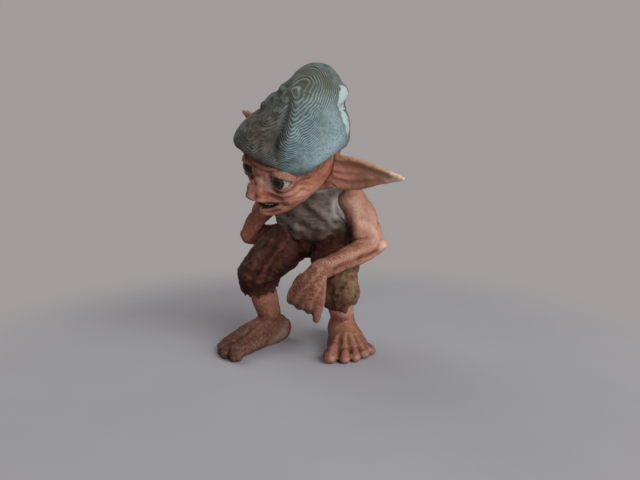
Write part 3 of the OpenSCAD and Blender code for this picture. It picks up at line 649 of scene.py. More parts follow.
cap_back_brush = (
    # Painted shade in the back folds.
    ("deep", 0.8, 3.0, 180, (-7, 66), (-8, 60)),
    ("deep", 0.8, 3.0, 180, (7, 66), (6, 60)),
    ("deep", 0.8, 3.0, 240, (7, 68)),
    ("deep", 0.8, 3.0, 120, (-2, 66)),
    ("moss", 0.7, 4.0, 200, (0, 81), (3, 78)),
    # Painted highlight on the ridges of the back folds.
    ("sky", 0.7, 1.8, 180, (2, 80), (1, 72), (-1, 64)),
    ("sky", 0.6, 1.8, 180, (11, 72), (13, 64)))

cap = Clay("cap", 0.4, 6)
crease = cap.seen(*cap_crease)
cap.ridge(crease, 0.9, -0.35)
cap.ridge(cap.seen(*beside_crease), 1.8, 0.3)
cap.settle()
for width, height, place in cap_notches:
    for spot in cap.seen(place):
        cap.ridge([spot, spot + over_edge * sight(*place)], width, height, False)
cap.draw(cap_wrinkles)
cap.settle()
cap.sculpt(cap_back_folds)
cap.lump(7.0, 0.35, 3)
cap.lump(2.4, 0.12, 5)
cap.smooth(1)
# The front lobe is painted dark brown, partly as a wash and partly as painted shade.
front = cap.nearness(cap.seen(*lobe_places), lobe_wide, False)
lobe_end = in_head(crease)[:, 0].max() + lobe_past_crease
cap.coat("lobe", np.clip(front * 1.5, 0, 1) * np.clip((lobe_end - in_head(cap.co)[:, 0]) / lobe_fade, 0, 1))
cap.swell(lobe_rough * cap.uneven(1.7, 31) * cap.coats["lobe"])
cap.brush(cap_brush)
for coat, amount, width, azimuth, *places in cap_back_brush:
    cap.coat(coat, amount * cap.nearness(cap.facing(azimuth, *places), width))
cap.done(cap_finish, "cap")


# Eyes: the ball of each, and the lids that the head is modelled with

eye_d, lid_t = 6.0, 0.42
eye_aside, eye_forward, eye_up, eye_outward = 6.0, 13.19, 0.56, 0.25
iris_proud, iris_reach = 0.16, 1.9
upper_lid, lower_lid = math.radians(33), math.radians(180 - 36)
gaze_places = {"left_eye": (277, 183.4), "right_eye": (246.6, 168)}


def ball_point(centre, px, py):
    """Where the camera sees an eyeball at a place of its view."""
    way = sight(px, py)
    along = (centre - eye_point) @ way
    aside = ((eye_point + along * way - centre) ** 2).sum()
    return eye_point + (along - math.sqrt(max(0.0, (0.5 * eye_d) ** 2 - aside))) * way


def ball(centre, radius, segments, rings):
    bm = bmesh.new()
    bmesh.ops.create_uvsphere(bm, u_segments=segments, v_segments=rings, radius=radius * MM)
    bmesh.ops.translate(bm, verts=bm.verts, vec=centre * MM)
    return bm


def lid(centre, out, rise, radius):
    """The part of a ball above a plane through its middle, or below it for a rise past a right angle."""
    bm = ball(centre, radius, 48, 32)
    up_way = head_z - (head_z @ out) * out
    up_way /= np.linalg.norm(up_way)
    normal = math.cos(rise) * up_way - math.sin(rise) * out
    bmesh.ops.bisect_plane(bm, geom=bm.verts[:] + bm.edges[:] + bm.faces[:], plane_co=centre * MM,
                           plane_no=normal, clear_inner=True)
    bmesh.ops.holes_fill(bm, edges=[e for e in bm.edges if e.is_boundary], sides=0)
    mesh = bpy.data.meshes.new("lid")
    bm.to_mesh(mesh)
    bm.free()
    return mesh


lids = []
eye_spots = []
for name, side in (("left_eye", 1), ("right_eye", -1)):
    centre = from_head([side * eye_aside, -eye_forward, eye_up])
    eye_spots.append(centre)
    out = eye_outward * side * head_x - head_y
    out /= np.linalg.norm(out)
    gaze = ball_point(centre, *gaze_places[name])
    gaze_way = Vector((gaze - centre) / np.linalg.norm(gaze - centre))
    bm = ball(centre, 0.5 * eye_d, 64, 48)
    for v in bm.verts:
        away = np.linalg.norm(np.array(v.co) / MM - gaze)
        bulge = iris_proud * max(0.0, 1 - (away / iris_reach) ** 2)
        v.co += gaze_way * bulge * MM
    settle_piece(made_piece(name + "_ball", bm), eye_paint(name + "_paint", gaze), "eye", name)
    lids.append(lid(centre, out, upper_lid, 0.5 * eye_d + lid_t))
    lids.append(lid(centre, out, lower_lid, 0.5 * eye_d + 0.8 * lid_t))


# Teeth, in a row behind the upper lip: each one's place across the mouth and its size

tooth_row = ((-2.5, 0.8), (-1.6, 0.9), (-0.55, 1.0), (0.55, 1.0), (1.6, 0.9), (2.5, 0.8))
tooth_wide, tooth_thick, tooth_high, tooth_round = 0.8, 0.7, 0.9, 0.16
row_forward, row_bend, gum_low, gum_arch, gum_drop = 15.2, 0.1, 8.15, 0.072, 0.25

bm = bmesh.new()
for x, size in tooth_row:
    spot = from_head([x, row_bend * x * x - row_forward, gum_arch * x * x - gum_low - gum_drop * size])
    block = Matrix.Diagonal((tooth_wide * size, tooth_thick, tooth_high * size, 1))
    place = Matrix.Translation(Vector(spot * MM)) @ Matrix(head_axes.tolist()).to_4x4()
    bmesh.ops.create_cube(bm, size=MM, matrix=place @ block)
bmesh.ops.bevel(bm, geom=bm.edges[:], offset=tooth_round * MM, offset_type="OFFSET", segments=3,
                profile=0.5, affect="EDGES", material=-1)
settle_piece(made_piece("teeth", bm), tooth_paint(), "eye")


# Head. What is drawn on the face is drawn on both of its halves.

eyelid_rims = (
    (1.3, 0.7, (268, 177), (276, 174), (287, 174), (297, 179)),
    (0.9, 0.55, (267, 191), (277, 195), (288, 194), (298, 188)))
face_forms = (
    (0.8, -0.32, (265, 194), (276, 199), (290, 198), (301, 191)),
    (0.8, -0.4, (264, 187), (270, 194), (279, 199), (285, 206)),
    (1.3, 0.6, (261, 190)),
    (0.75, -1.0, (255, 198)),
    (0.6, 0.4, (258, 200), (266, 201), (275, 201), (281, 202)),
    (0.7, 0.5, (262, 208), (270, 209.5), (278, 207)),
    (0.6, -0.4, (263, 211.5), (271, 212.5), (279, 210)),
    (2.6, 0.5, (294, 196)),
    (1.2, 0.4, (301, 204), (310, 198), (318, 191)))
face_wrinkles = (
    (0.5, -0.2, (255, 160), (266, 166), (277, 170)),
    (0.5, -0.2, (253, 166), (262, 170), (270, 174)),
    (0.5, -0.2, (300, 181), (310, 178)),
    (0.5, -0.2, (300, 185), (311, 185)),
    (0.5, -0.2, (299, 189), (309, 192)),
    (0.5, -0.2, (252, 184), (258, 181), (264, 181)),
    (0.5, -0.2, (251, 179), (257, 176), (263, 176)),
    (0.5, -0.2, (318, 188), (326, 183), (335, 178)),
    (0.5, -0.2, (287, 203), (293, 200), (300, 198)))
nape_at, nape_reach = (-2.0, 9.5, 55.0), 6.5
nape_strokes = (
    (180, 1.1, 0.45, (0.0, 56), (-0.6, 54.4), (-1.4, 52.6)),
    (180, 1.1, 0.45, (3.6, 56), (4.0, 54.4), (4.8, 52.6)),
    (180, 0.9, -0.35, (1.8, 55.6), (1.7, 52.6)),
    (180, 0.6, -0.25, (-4, 63), (1.5, 62.2), (7, 63.6)),
    (180, 0.6, -0.22, (-4, 61.4), (1.5, 60.6), (7, 62)))
mouth_half, mouth_low, mouth_arch, mouth_open, mouth_front = 4.6, 8.6, 0.066, 1.15, 11.5
socket_r, socket_edge, socket_shade = 3.22, 0.12, 4.6
brim_shade, brim_fade = 3.2, 2.4
rosy_places = ((250, 190), (262, 189), (258, 159), (288, 199), (272, 210))
face_brush = (
    # Painted highlight under the eye and on the cheek, redder skin on the forehead, and painted shade
    # between the eyes and down the nose's far side.
    ("painted_highlight", 0.6, 1.2, (272, 186), (262, 180)),
    ("flush_and_highlight", 0.75, 2.8, (294, 197), (306, 194), (318, 188)),
    ("printed", 0.8, 4.0, (290, 200), (304, 196), (316, 190)),
    ("flush_and_highlight", 0.4, 1.6, (258, 164), (268, 169)),
    ("earth_and_shade", 0.5, 1.8, (256, 163), (266, 168), (276, 172)),
    ("earth_and_shade", 0.95, 3.0, (262, 184), (254, 190), (249, 194)),
    ("mud_and_shade", 0.3, 2.4, (251, 187), (256, 184), (252, 193)))

head = Clay("head", 0.33, 3, lids)
for strokes in (eyelid_rims, face_forms, face_wrinkles):
    for width, height, *places in strokes:
        path = head.seen(*places)
        if path:
            head.ridge(path, width, height)
            head.ridge(head.mirrored(path), width, height)
    head.settle()
nape = head.near(nape_at, nape_reach) * (in_head(head.co)[:, 1] > 0)
head.fill(70, nape)
head.smooth(20, nape)
head.settle()
head.sculpt(nape_strokes)
head.lump(2.6, 0.22, 2)
head.lump(1.0, 0.07, 4)
across_face, behind_face, up_face = in_head(head.co).T
off_lips = up_face + mouth_low - mouth_arch * across_face ** 2
inside_mouth = np.exp(-((across_face / mouth_half) ** 2 + (off_lips / mouth_open) ** 2))
inside_mouth = inside_mouth * (behind_face < -mouth_front) * (head.normal @ head_y > -0.75)
# The inside of the mouth, painted dark red, which also stands in for its shade.
head.coat("dark", np.clip(1.6 * inside_mouth, 0, 1))
for spot in eye_spots:
    round_eye = np.linalg.norm(head.co - spot, axis=1)
    # Painted shade in the crease where the lids meet each eyeball.
    head.coat("dark", 0.8 * np.clip((socket_r - round_eye) / socket_edge, 0, 1))
    # Painted shade: the skin round each eye is browned.
    head.coat("earth_and_shade", 0.8 * head.near(spot, socket_shade))
# Painted shadow of the cap's brim across the forehead.
head.coat("earth_and_shade", np.clip((brim_shade - head.apart("cap")) / brim_fade, 0, 1) * (behind_face < 0))
for place in rosy_places:
    path = head.seen(place)
    head.coat("rosy", head.nearness(path, 2.2))
    if path:
        head.coat("rosy", head.nearness(head.mirrored(path), 2.2))
head.brush(face_brush)
head.done(skin, "skin")


# Ears, in the left ear's lengths along it from its root and across it

ear_root = np.array([11.0, 1.2, -1.4])
ear_along = np.array([0.963, 0.205, 0.174])
ear_front = -3.0
spout_from, spout_over, spout_thin = 9, 6, 0.32
upper_rim = ((2, 4.4), (6, 4.4), (10, 3.6), (14, 2.5), (18, 1.4))
lower_rim = ((2, -4.4), (6, -4.4), (10, -3.5), (14, -2.4), (18, -1.2))
ear_forms = (
    (0.8, 0.5, *upper_rim),
    (0.8, 0.4, *lower_rim),
    (0.9, -0.4, (3, 2.2), (8, 2.0), (13, 1.0), (17, 0.5)),
    (0.8, 0.45, (1, -1.0), (5, -1.8), (9, -1.5), (12, -0.6)),
    (0.7, 0.35, (1, 1.0), (4, 0.4), (7, 0.6)))
ear_brush = (
    ("rosy", 0.4, 2.0, (3, 0), (9, -0.4), (14, -0.4)),
    # Pink over the ear's root and middle: partly the ear's own redness, partly painted highlight.
    ("flush_and_highlight", 0.95, 3.4, (0, 3), (1, -2), (5, 0)),
    ("flush_and_highlight", 0.5, 3.0, (6, 2), (12, 0.5)))


def ear_line(ear, flip, points):
    """Points along the ear and across it, carried to its hollow front."""
    toward = Vector(head_y)
    line = []
    for far, high in points:
        start = from_head((ear_root + ear_along * far + np.array([0, ear_front, high])) * flip)
        hit = ear.surface.ray_cast(Vector(start), toward)[0]
        if hit is not None:
            line.append(np.array(hit))
    return line


for name, side, tip_swell, tip_coat in (("left_ear", 1, 0.2, "painted_highlight"), ("right_ear", -1, 0.5, "flush_and_highlight")):
    ear = Clay(name, 0.26, 3)
    flip = np.array([side, 1, 1])
    from_root = in_head(ear.co) * flip - ear_root
    far = from_root @ ear_along
    below = np.clip(ear_along[2] * far - from_root[:, 2], 0, None)
    spout = spout_thin * np.clip((far - spout_from) / spout_over, 0, 1) * below
    ear.co += spout[:, None] * head_z
    ear.settle()
    upper = ear_line(ear, flip, upper_rim)
    for width, height, *points in ear_forms:
        ear.ridge(ear_line(ear, flip, points), width, height)
    ear.settle()
    ear.lump(2.2, 0.18, 6)
    ear.lump(0.9, 0.07, 7)
    # Painted highlight along the ear's upper rim, where light falls on it, and over its tip.
    ear.coat("gold_highlight", ear.nearness(upper, 2.4, False))
    tip = ear.co[np.argmax(side * in_head(ear.co)[:, 0])]
    ear.settle()
    ear.swell(tip_swell * ear.near(tip, 4.0))
    ear.coat("gold_highlight", 0.9 * ear.near(tip, 5.0))
    for coat, amount, width, *points in ear_brush:
        ear.coat(coat, amount * ear.nearness(ear_line(ear, flip, points), width))
    # Painted highlight over the ear's tip, lighter on the left ear and pinker on the right.
    ear.coat(tip_coat, 0.95 * ear.near(tip, 5.5))
    ear.coat("printed", np.full(ear.count, 1.0))
    ear.done(skin, "skin")


# Vest

vest_folds = (
    (1.3, -0.5, (300, 203), (312, 214), (326, 226), (338, 236)),
    (1.2, -0.45, (288, 212), (300, 224), (312, 236)),
    (1.1, -0.45, (322, 196), (330, 208), (336, 222)),
    (1.2, 0.35, (305, 200), (318, 208), (331, 216)),
    (1.3, 0.4, (290, 220), (306, 230), (322, 238)),
    (1.0, -0.35, (281, 222), (291, 231), (303, 238)),
    (0.9, 0.3, (310, 206), (322, 214), (334, 226)))
vest_back_folds = (
    (180, 1.3, -0.4, (1.6, 51), (2.8, 45), (3.4, 38)),
    (180, 2.6, 0.5, (-4.5, 48.5), (-2.2, 43.5)),
    (180, 2.6, 0.5, (10.5, 48.5), (8.6, 43.5)),
    (180, 0.9, -0.45, (-8, 46), (-4, 42), (1, 38.5)),
    (180, 0.9, -0.4, (-8, 43), (-4, 39.5), (-1, 37)),
    (180, 0.9, -0.45, (14, 46), (10, 42), (6, 38.5)),
    (180, 0.9, -0.4, (14, 43), (11, 39.5), (8, 37)),
    (180, 0.9, 0.35, (-7, 44.5), (-2.5, 40), (1, 37)),
    (180, 0.9, 0.35, (13.5, 44.5), (9.5, 40), (6, 37)),
    (270, 0.9, -0.4, (-12, 44), (-8, 40.5), (-3, 38)),
    (270, 0.9, 0.35, (-10, 42), (-6, 38.5), (-2, 36.5)),
    (300, 1.0, -0.4, (-6, 46), (-3, 42), (2, 38)),
    (330, 1.0, -0.4, (-8, 44), (-4, 40), (2, 37.5)),
    (90, 0.9, -0.4, (2, 44), (6, 40), (11, 37)),
    (120, 0.9, -0.35, (-4, 43), (0, 39.5), (4, 37)))
vest_by_arm = ((345, 216), (348, 226), (348, 234))
frayed_armhole = ((340, 193), (336, 200), (334, 208), (337, 216))
rim_off, rim_wide, rim_high = 0.7, 0.55, 0.45
fray_off, fray_wide = 0.6, 0.5
hem_z, hem_wide, hem_high = 36.0, 0.9, 0.35
vest_middle = (-3.4, 7.3)
drape_waves, drape_high, drape_top, drape_tall = 7, 0.28, 46, 10
low_darkening_z, low_darkening_fade = 38.4, 1.6

vest = Clay("vest", 0.4, 3)
vest.draw(vest_folds)
vest.settle()
vest.sculpt(vest_back_folds)
torn = np.clip(0.55 + 1.3 * vest.uneven(0.9, 21), 0, 1)
for node in ("left_arm", "right_arm", "head"):
    gap = vest.apart(node)
    vest.swell(rim_high * np.exp(-((gap - rim_off) / rim_wide) ** 2))
    vest.coat("frayed", 0.75 * torn * np.exp(-((gap - fray_off) / fray_wide) ** 2))
vest.ridge(vest.seen(*vest_by_arm), 2.4, 0.9, False)
vest.settle()
height = vest.co[:, 2]
on_the_side = np.abs(vest.normal[:, 2]) < 0.8
vest.swell(hem_high * np.exp(-((height - hem_z) / hem_wide) ** 2) * on_the_side)
round_body = np.arctan2(vest.co[:, 1] - vest_middle[1], vest.co[:, 0] - vest_middle[0])
waves = np.sin(drape_waves * round_body + 0.6 * np.sin(3 * round_body))
vest.swell(drape_high * waves * np.clip((drape_top - height) / drape_tall, 0, 1) * on_the_side)
vest.settle()
vest.lump(3.2, 0.25, 8)
vest.lump(1.1, 0.09, 9)
vest.coat("frayed", vest.nearness(vest.seen(*frayed_armhole), 1.0, False))
# The vest is darker below a ragged line near its hem.
low_darkening = low_darkening_z + 2.2 * vest.uneven(3.2, 22) + 0.9 * vest.uneven(1.1, 23)
vest.coat("darker_low", np.clip((low_darkening - vest.co[:, 2]) / low_darkening_fade, 0, 1))
vest.done(vest_finish, "vest", 0.8)


# Arms. The joints are the shoulder, the elbow and the wrist.

left_arm_lines = (
    (2.6, 0.45, (352, 200), (358, 212)),
    (1.6, 0.3, (368, 205), (374, 222), (378, 236)),
    (1.5, 0.9, (384, 246)),
    (1.2, 0.4, (376, 240), (368, 250)),
    (0.9, -0.22, (377, 252), (360, 258), (342, 265), (328, 271)),
    (1.0, 0.3, (372, 246), (352, 253), (334, 262)),
    (0.7, 0.2, (322, 268), (308, 284), (293, 301)),
    (0.7, 0.2, (328, 272), (317, 290), (309, 308)),
    (0.45, -0.1, (317, 280), (306, 293), (298, 304)),
    (0.45, -0.1, (322, 282), (312, 296), (305, 308)),
    (0.45, -0.1, (325, 284), (319, 297), (313, 310)),
    (2.4, 0.4, (372, 240), (362, 248)),
    (1.8, 0.6, (357, 226), (357, 238)))
right_arm_lines = (
    (1.5, 0.3, (248, 215), (244, 230), (246, 240)),
    (1.0, -0.3, (254, 212), (252, 228)))
left_arm_strokes = (
    (180, 1.6, 0.4, (-12, 44.5), (-16, 39)),
    (180, 0.8, -0.35, (-14.5, 44), (-18, 38)),
    (180, 1.4, 0.6, (-18.6, 33.6)),
    (180, 0.45, -0.22, (-16, 36.5), (-20, 36)),
    (90, 2.8, 0.4, (7.5, 45)),
    (90, 0.9, -0.35, (3, 43), (6.5, 40), (10.5, 42.5)),
    (90, 0.8, -0.25, (6, 39.5), (5.8, 36.5)),
    (90, 0.9, -0.3, (4, 33), (-3, 31.2), (-9, 29.8)),
    (90, 0.9, 0.3, (3, 35), (-4, 33), (-10, 31.2)))
right_arm_strokes = (
    (270, 2.8, 0.4, (-4.8, 44.8)),
    (270, 0.9, -0.4, (-8, 43), (-4.6, 40.2), (-1.5, 42.4)),
    (270, 0.8, -0.3, (-4, 39.6), (-3, 36.4)),
    (270, 1.5, 0.7, (-2.4, 33.6)),
    (270, 0.45, -0.22, (-5, 35.8), (-2.5, 35.4), (0, 35.8)),
    (180, 0.9, -0.35, (19, 44), (23, 38)),
    (180, 1.5, 0.4, (17, 44), (20.5, 39)),
    (180, 0.9, 0.3, (24, 35), (19, 35.4), (13, 35.2)),
    (180, 0.8, -0.3, (24, 33.4), (19, 33.6), (13, 33.6)),
    (180, 0.9, 0.3, (23, 32), (18, 31.8), (13, 32)),
    (220, 0.45, -0.2, (20, 37), (21, 35), (21, 33)))
left_hand_places = ((303, 290), (312, 302))
# Painted highlights on the elbow, the upper arm and the forearm.
left_arm_brush = (
    ("painted_highlight", 0.7, 1.8, (384, 246)),
    ("painted_highlight", 0.4, 3.0, (356, 204), (366, 220), (374, 236)),
    ("painted_highlight", 0.3, 1.8, (374, 262), (356, 268), (340, 273)),
    ("printed", 0.3, 3.0, (370, 246), (350, 254), (332, 264)),
    ("earth_and_shade", 0.7, 2.2, (356, 243), (344, 250), (330, 259)),
    ("rosy", 0.8, 1.4, (291, 305)),
    ("rosy", 0.8, 1.4, (299, 310)),
    ("rosy", 0.8, 1.4, (308, 313)),
    ("rosy", 0.8, 1.4, (317, 317)),
    ("rosy", 0.5, 4.0, (300, 290), (310, 300)),
    ("mud_and_shade", 0.6, 4.6, (298, 292), (306, 302), (312, 308)))
left_arm_joints = ((9.4, 7.6, 50.0), (18.5, 5.9, 34.3), (12.0, -12.6, 29.4))
right_arm_joints = ((-15.8, 5.4, 49.3), (-25.5, 2.0, 33.9), (-11.1, 16.1, 34.1))


def make_arm(name, joints, lines, strokes, earth_and_shade, rosy=0.0, hand=(), brush=()):
    shoulder, elbow, wrist = np.array(joints)
    arm = Clay(name, 0.34, 4)
    arm.smooth(50, arm.near(wrist, 4.5))
    arm.smooth(25, 0.6 * arm.near(elbow, 5.0))
    arm.settle()
    for spot in arm.seen(*hand):
        arm.fill(110, arm.near(spot, 6.0))
    arm.draw(lines)
    arm.settle()
    arm.sculpt(strokes)
    arm.swell(0.9 * arm.near(shoulder, 3.4))
    arm.settle()
    arm.lump(3.2, 0.3, 10)
    arm.lump(1.1, 0.08, 11)
    arm.lump(0.6, 0.04, 12)
    arm.brush(brush)
    forearm = wrist - elbow
    arm.coat("earth_and_shade", np.clip(((arm.co - elbow) @ forearm) / (forearm @ forearm), 0, 1))
    # Darker, and for the right arm also redder, all over; on the right arm, which hangs in shade, this is
    # painted shade.
    arm.coat("earth_and_shade", np.full(arm.count, earth_and_shade))
    arm.coat("rosy", np.full(arm.count, rosy))
    arm.done(skin, "skin", 1.0)


make_arm("left_arm", left_arm_joints, left_arm_lines, left_arm_strokes, earth_and_shade=0.22,
         hand=left_hand_places, brush=left_arm_brush)
# The right arm hangs in shade, so it is painted darker and redder all over: painted shade.
make_arm("right_arm", right_arm_joints, right_arm_lines, right_arm_strokes, earth_and_shade=0.62, rosy=0.6)


# Shorts

shorts_folds = (
    (1.2, -0.55, (262, 226), (256, 243), (249, 258)),
    (1.2, -0.5, (280, 232), (272, 248), (258, 268), (252, 282)),
    (1.2, -0.45, (295, 238), (284, 252), (270, 268)),
    (1.2, 0.45, (268, 228), (262, 246), (252, 268)),
    (1.2, 0.4, (288, 236), (277, 252), (263, 274)),
    (1.0, -0.45, (243, 262), (256, 272), (270, 272)),
    (1.0, 0.4, (246, 276), (258, 282), (272, 278)),
    (1.0, -0.45, (350, 268), (345, 282), (338, 296)),
    (1.0, -0.4, (340, 276), (334, 288), (330, 300)),
    (1.0, 0.4, (356, 270), (353, 284), (348, 298)),
    (0.9, 0.35, (345, 272), (339, 286), (334, 298)),
    (1.2, -0.4, (318, 240), (330, 246), (345, 250)),
    (1.0, -0.4, (300, 240), (312, 247), (322, 252)))
shorts_back_folds = (
    (180, 0.8, -0.5, (3.4, 36.5), (3.2, 32), (3.0, 27)),
    (180, 0.9, -0.5, (-9, 29), (-5, 27), (0, 26.4)),
    (180, 0.9, -0.5, (13, 29), (9, 27), (5, 26.4)),
    (180, 0.7, -0.35, (-6, 36), (-6.5, 32.5)),
    (180, 0.7, -0.35, (-2, 36), (-1.8, 33)),
    (180, 0.7, -0.35, (8, 36), (8.2, 33)),
    (180, 0.7, -0.35, (12, 36), (12.6, 32.5)),
    (180, 0.9, -0.4, (-8, 24), (-6, 20), (-6, 16)),
    (180, 0.9, 0.35, (-11, 23), (-10, 18)),
    (180, 0.9, -0.4, (16, 24), (16, 20), (17, 16)),
    (180, 0.9, 0.35, (13, 24), (13, 18)),
    (270, 0.9, -0.45, (-8, 33), (-2, 30), (5, 26)),
    (270, 0.9, -0.45, (-8, 29.5), (-1, 26.5), (6, 22.5)),
    (270, 0.9, 0.4, (-8, 31), (-1, 28), (6, 24)),
    (270, 0.9, -0.4, (-6, 26), (-1, 22), (2, 18)),
    (270, 0.9, -0.4, (8, 24), (4, 20), (3, 17)),
    (90, 0.9, -0.45, (2, 33), (7, 29), (11, 24)),
    (90, 0.9, -0.45, (-1, 30), (5, 26), (8, 21)),
    (90, 0.9, 0.4, (1, 31.5), (6, 27.5), (10, 22)))
hip_places = ((348, 236), (350, 244))
torn_corner = ((360, 300), (357, 305), (352, 309))
hem_points = ((337, 304), (346, 309), (353.5, 307), (359.5, 299))
hem_notches = ((341.5, 307), (350, 308.5), (357, 303.5))
left_leg_shade = ((331, 274), (332, 286), (335, 298), (340, 307))
corner_lift, point_drop, notch_lift = 2.0, -1.4, 1.2
olive_x, olive_fade_x = 7.0, 5.0
olive_top, olive_fade_top, olive_low, olive_fade_low = 33, 6, 14.4, 3

shorts = Clay("shorts", 0.3, 2)
shorts.draw(shorts_folds)
shorts.settle()
shorts.sculpt(shorts_back_folds)
shorts.ridge(shorts.seen(*hip_places), 2.4, 0.7, False)
shorts.settle()
torn = shorts.nearness(shorts.seen(*torn_corner), 2.2, False) * (0.7 + 0.5 * shorts.uneven(1.2, 31))
shorts.co[:, 2] += corner_lift * torn
shorts.settle()
for places, width, lift in ((hem_points, 0.9, point_drop), (hem_notches, 0.8, notch_lift)):
    for place in places:
        shorts.co[:, 2] += lift * shorts.nearness(shorts.seen(place), width, False)
shorts.settle()
shorts.lump(3.4, 0.40, 13)
shorts.lump(1.3, 0.16, 14)
shorts.lump(0.7, 0.06, 15)
on_left_leg = np.clip((shorts.co[:, 0] - olive_x) / olive_fade_x, 0, 1)
below_hip = np.clip((olive_top - shorts.co[:, 2]) / olive_fade_top, 0, 1)
above_hem = np.clip((shorts.co[:, 2] - olive_low) / olive_fade_low, 0.3, 1)
in_shade = shorts.nearness(shorts.seen(*left_leg_shade), 2.8, False)
shorts.coat("olive", on_left_leg * below_hip * (1 - 0.9 * in_shade) * above_hem)
shorts.done(shorts_finish, "shorts")


# Legs. The azimuth is the way that the foot points.

left_foot_lines = (
    (0.9, 0.45, (339, 334), (335, 342), (331, 352)),
    (0.8, 0.4, (345, 334), (345, 343), (346, 352)),
    (0.8, 0.4, (350, 334), (353, 342), (355, 349)),
    (0.7, 0.35, (355, 334), (359, 341), (362, 346)),
    (0.6, -0.4, (340, 334), (339, 354)),
    (0.6, -0.4, (347, 336), (350, 352)),
    (0.55, -0.35, (354, 336), (359, 349)),
    (1.4, 0.25, (333, 321)),
    (1.3, 0.25, (354, 319)))
right_foot_lines = (
    (0.9, 0.25, (258, 322), (244, 333), (226, 343)),
    (0.9, 0.25, (262, 324), (248, 337), (233, 348)),
    (0.6, -0.22, (250, 332), (238, 340), (228, 346)),
    (1.6, 0.5, (287, 322)),
    (1.0, 0.25, (276, 296), (278, 310)))
left_leg_strokes = (
    (180, 0.9, 0.5, (-3, 13.5), (-2.6, 9), (-2.4, 5.5)),
    (180, 0.8, -0.35, (-4.8, 11), (-4.4, 7)),
    (180, 0.8, -0.35, (-0.8, 11), (-0.4, 7)),
    (180, 2.4, 0.3, (-2.4, 2.6)),
    (180, 0.45, -0.22, (-5.5, 4.6), (-2.4, 4.2), (0.6, 4.6)),
    (230, 1.4, 0.4, (0, 7.8)))
right_leg_strokes = (
    (180, 0.9, 0.5, (16, 13.5), (15.8, 9), (15.8, 5.5)),
    (180, 0.8, -0.35, (14, 11), (13.8, 7)),
    (180, 0.8, -0.35, (18, 11), (17.8, 7)),
    (180, 2.4, 0.3, (15.8, 2.6)),
    (180, 0.45, -0.22, (13, 4.6), (15.8, 4.2), (18.6, 4.6)),
    (270, 1.4, 0.55, (-1.2, 7.8)),
    (270, 0.8, 0.25, (6, 8), (12, 5.6), (18, 3.6)))
left_instep_places = ((338, 319), (345, 318), (352, 320))
left_nails = ((332, 359), (347, 360), (357, 357), (364, 353), (370, 350))
right_nails = ((233, 358), (226, 352), (220, 347), (216, 343))
# Painted highlights on the left instep and shin.
left_leg_brush = (
    ("gold_highlight", 0.4, 3.4, (345, 320), (351, 328), (353, 336)),
    ("flush_and_highlight", 1.0, 3.4, (334, 311), (345, 311), (355, 313)),
    ("painted_highlight", 0.35, 2.6, (340, 311), (352, 313)))
# Painted shade along the right foot, and a painted highlight on its edge.
right_leg_brush = (
    ("mud_and_shade", 0.35, 3.4, (262, 326), (248, 336)),
    ("painted_highlight", 0.45, 2.4, (285, 332), (274, 342), (264, 350)))
toes_from, toes_over = 11, 8
earth_and_shade_fade, mud_and_shade_below, mud_and_shade_fade = 9, 11, 6


def make_leg(name, ankle, azimuth, lines, strokes, nails, brush, earth_and_shade_below,
             toe_rough, toe_mud_and_shade, foot_mud_and_shade, toe_rose=0.0, instep=()):
    foot_way = np.array([math.sin(math.radians(azimuth)), -math.cos(math.radians(azimuth)), 0])
    leg = Clay(name, 0.34, 4)
    leg.smooth(40, leg.near(ankle, 6.0))
    leg.settle()
    leg.fill(150, leg.near(np.add(ankle, (0, 0, 1.0)), 6.5))
    toes = np.clip(((leg.co - np.array(ankle)) @ foot_way - toes_from) / toes_over, 0, 1)
    for spot in leg.seen(*instep):
        leg.fill(120, leg.near(spot, 5.0))
    leg.fill(12, toes)
    leg.draw(lines)
    leg.settle()
    leg.sculpt(strokes)
    leg.lump(3.0, 0.28, 16)
    leg.lump(1.0, 0.08, 17)
    leg.swell(toe_rough * leg.uneven(0.9, 24) * toes)
    leg.lump(0.6, 0.04, 18)
    # Painted highlights on the toe tips, with a rosy tint round them.
    for place in nails:
        leg.coat("painted_highlight", 0.35 * leg.nearness(leg.seen(place), 0.7))
        leg.coat("rosy", 0.5 * leg.nearness(leg.seen(place), 2.2))
    # Darker towards the floor: dirt on both feet, and on the right leg, which stands in shade, a higher
    # reach of painted shade.
    leg.coat("earth_and_shade", np.clip((earth_and_shade_below - leg.co[:, 2]) / earth_and_shade_fade, 0, 1))
    # Mud on the toes and low on the foot; on the right foot, which stands in shade, its heavier coat is
    # partly painted shade.
    leg.coat("mud_and_shade", toe_mud_and_shade * toes)
    leg.coat("mud_and_shade", foot_mud_and_shade * np.clip((mud_and_shade_below - leg.co[:, 2]) / mud_and_shade_fade, 0, 1))
    leg.coat("rosy", toe_rose * toes)
    leg.brush(brush)
    leg.done(skin, "skin")


make_leg("left_leg", (2.5, 14.6, 8.0), 43, left_foot_lines, left_leg_strokes, left_nails, left_leg_brush,
         earth_and_shade_below=12, toe_rough=0.12, toe_mud_and_shade=0.3, foot_mud_and_shade=0.3, toe_rose=0.7, instep=left_instep_places)
# The right foot stands in shade, and its higher darkening and heavier mud are painted shade.
make_leg("right_leg", (-15.8, 1.0, 8.0), -13, right_foot_lines, right_leg_strokes, right_nails,
         right_leg_brush, earth_and_shade_below=17, toe_rough=0.32, toe_mud_and_shade=1.0, foot_mud_and_shade=0.64)


# Floor, light and background. The sheet of paper on the floor fades out at its edge. Lengths are in metres.

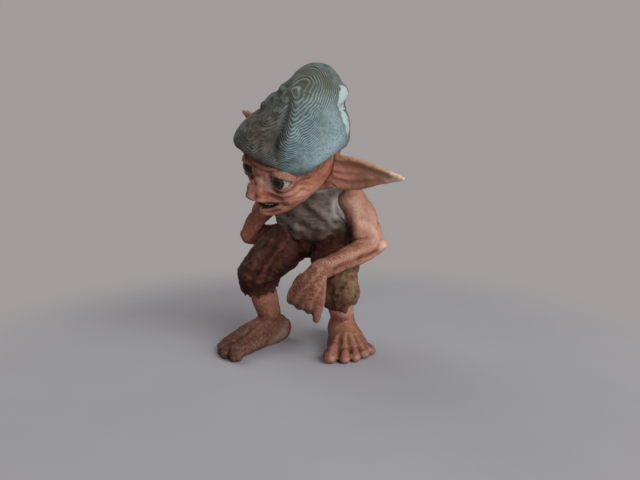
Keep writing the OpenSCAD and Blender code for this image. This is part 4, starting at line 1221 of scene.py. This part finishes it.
sheet_r, fade_from, fade_to = 0.135, 0.075, 0.134
paper_grey = (0.38, 0.372, 0.39)
light_paper = (0.395, 0.387, 0.405)
lamps = (
    ("key", (0.70, -0.205, 0.365), (0, 0, 0.045), 0.75, 9.5, (0.96, 1.0, 1.03)),
    ("fill", (-0.45, 0.05, 0.40), (-0.02, 0, 0.03), 0.4, 0.9, (1.0, 1.0, 1.0)))
wall_colour = (0.36, 0.33, 0.33, 1)
wall_light = 0.5

bm = bmesh.new()
bmesh.ops.create_circle(bm, cap_ends=True, segments=128, radius=sheet_r)
sheet = bpy.data.meshes.new("floor")
bm.to_mesh(sheet)
bm.free()
floor = bpy.data.objects.new("floor", sheet)
paper = Paint("floor_paper")
from_middle = paper.add("ShaderNodeVectorMath", {0: paper.place}, operation="LENGTH").outputs["Value"]
paper.tree.links.new(paper.ramp(from_middle, fade_from, fade_to, 1.0, 0.0), paper.shader.inputs["Alpha"])
paper.base(paper.ramp(paper.grain(40, 3), 0.3, 0.7), paper_grey, light_paper)
sheet.materials.append(paper.finish(0.85, paper.bump(paper.grain(0.6, 3), 0.05, 0.05), 0.2))
scene.collection.objects.link(floor)

for name, place, aim, size, power, tint in lamps:
    lamp = bpy.data.lights.new(name, "AREA")
    lamp.size = size
    lamp.energy = power
    lamp.color = tint
    lit = bpy.data.objects.new(name, lamp)
    lit.location = place
    lit.rotation_euler = (Vector(aim) - Vector(place)).to_track_quat("-Z", "Y").to_euler()
    scene.collection.objects.link(lit)

# The wall shows in full, and lights the figurine by a part of its strength.

world = bpy.data.worlds.new("studio")
scene.world = world
world.use_nodes = True
tree = world.node_tree
glow = tree.nodes["Background"]
glow.inputs["Color"].default_value = wall_colour
rays = tree.nodes.new("ShaderNodeLightPath")
shown = None
for ray in ("Is Camera Ray", "Is Glossy Ray", "Is Transmission Ray"):
    most = tree.nodes.new("ShaderNodeMath")
    most.operation = "MAXIMUM"
    tree.links.new(rays.outputs[ray], most.inputs[0])
    most.inputs[1].default_value = wall_light
    if shown is not None:
        tree.links.new(shown, most.inputs[1])
    shown = most.outputs[0]
tree.links.new(shown, glow.inputs["Strength"])
scene.view_settings.view_transform = "Standard"
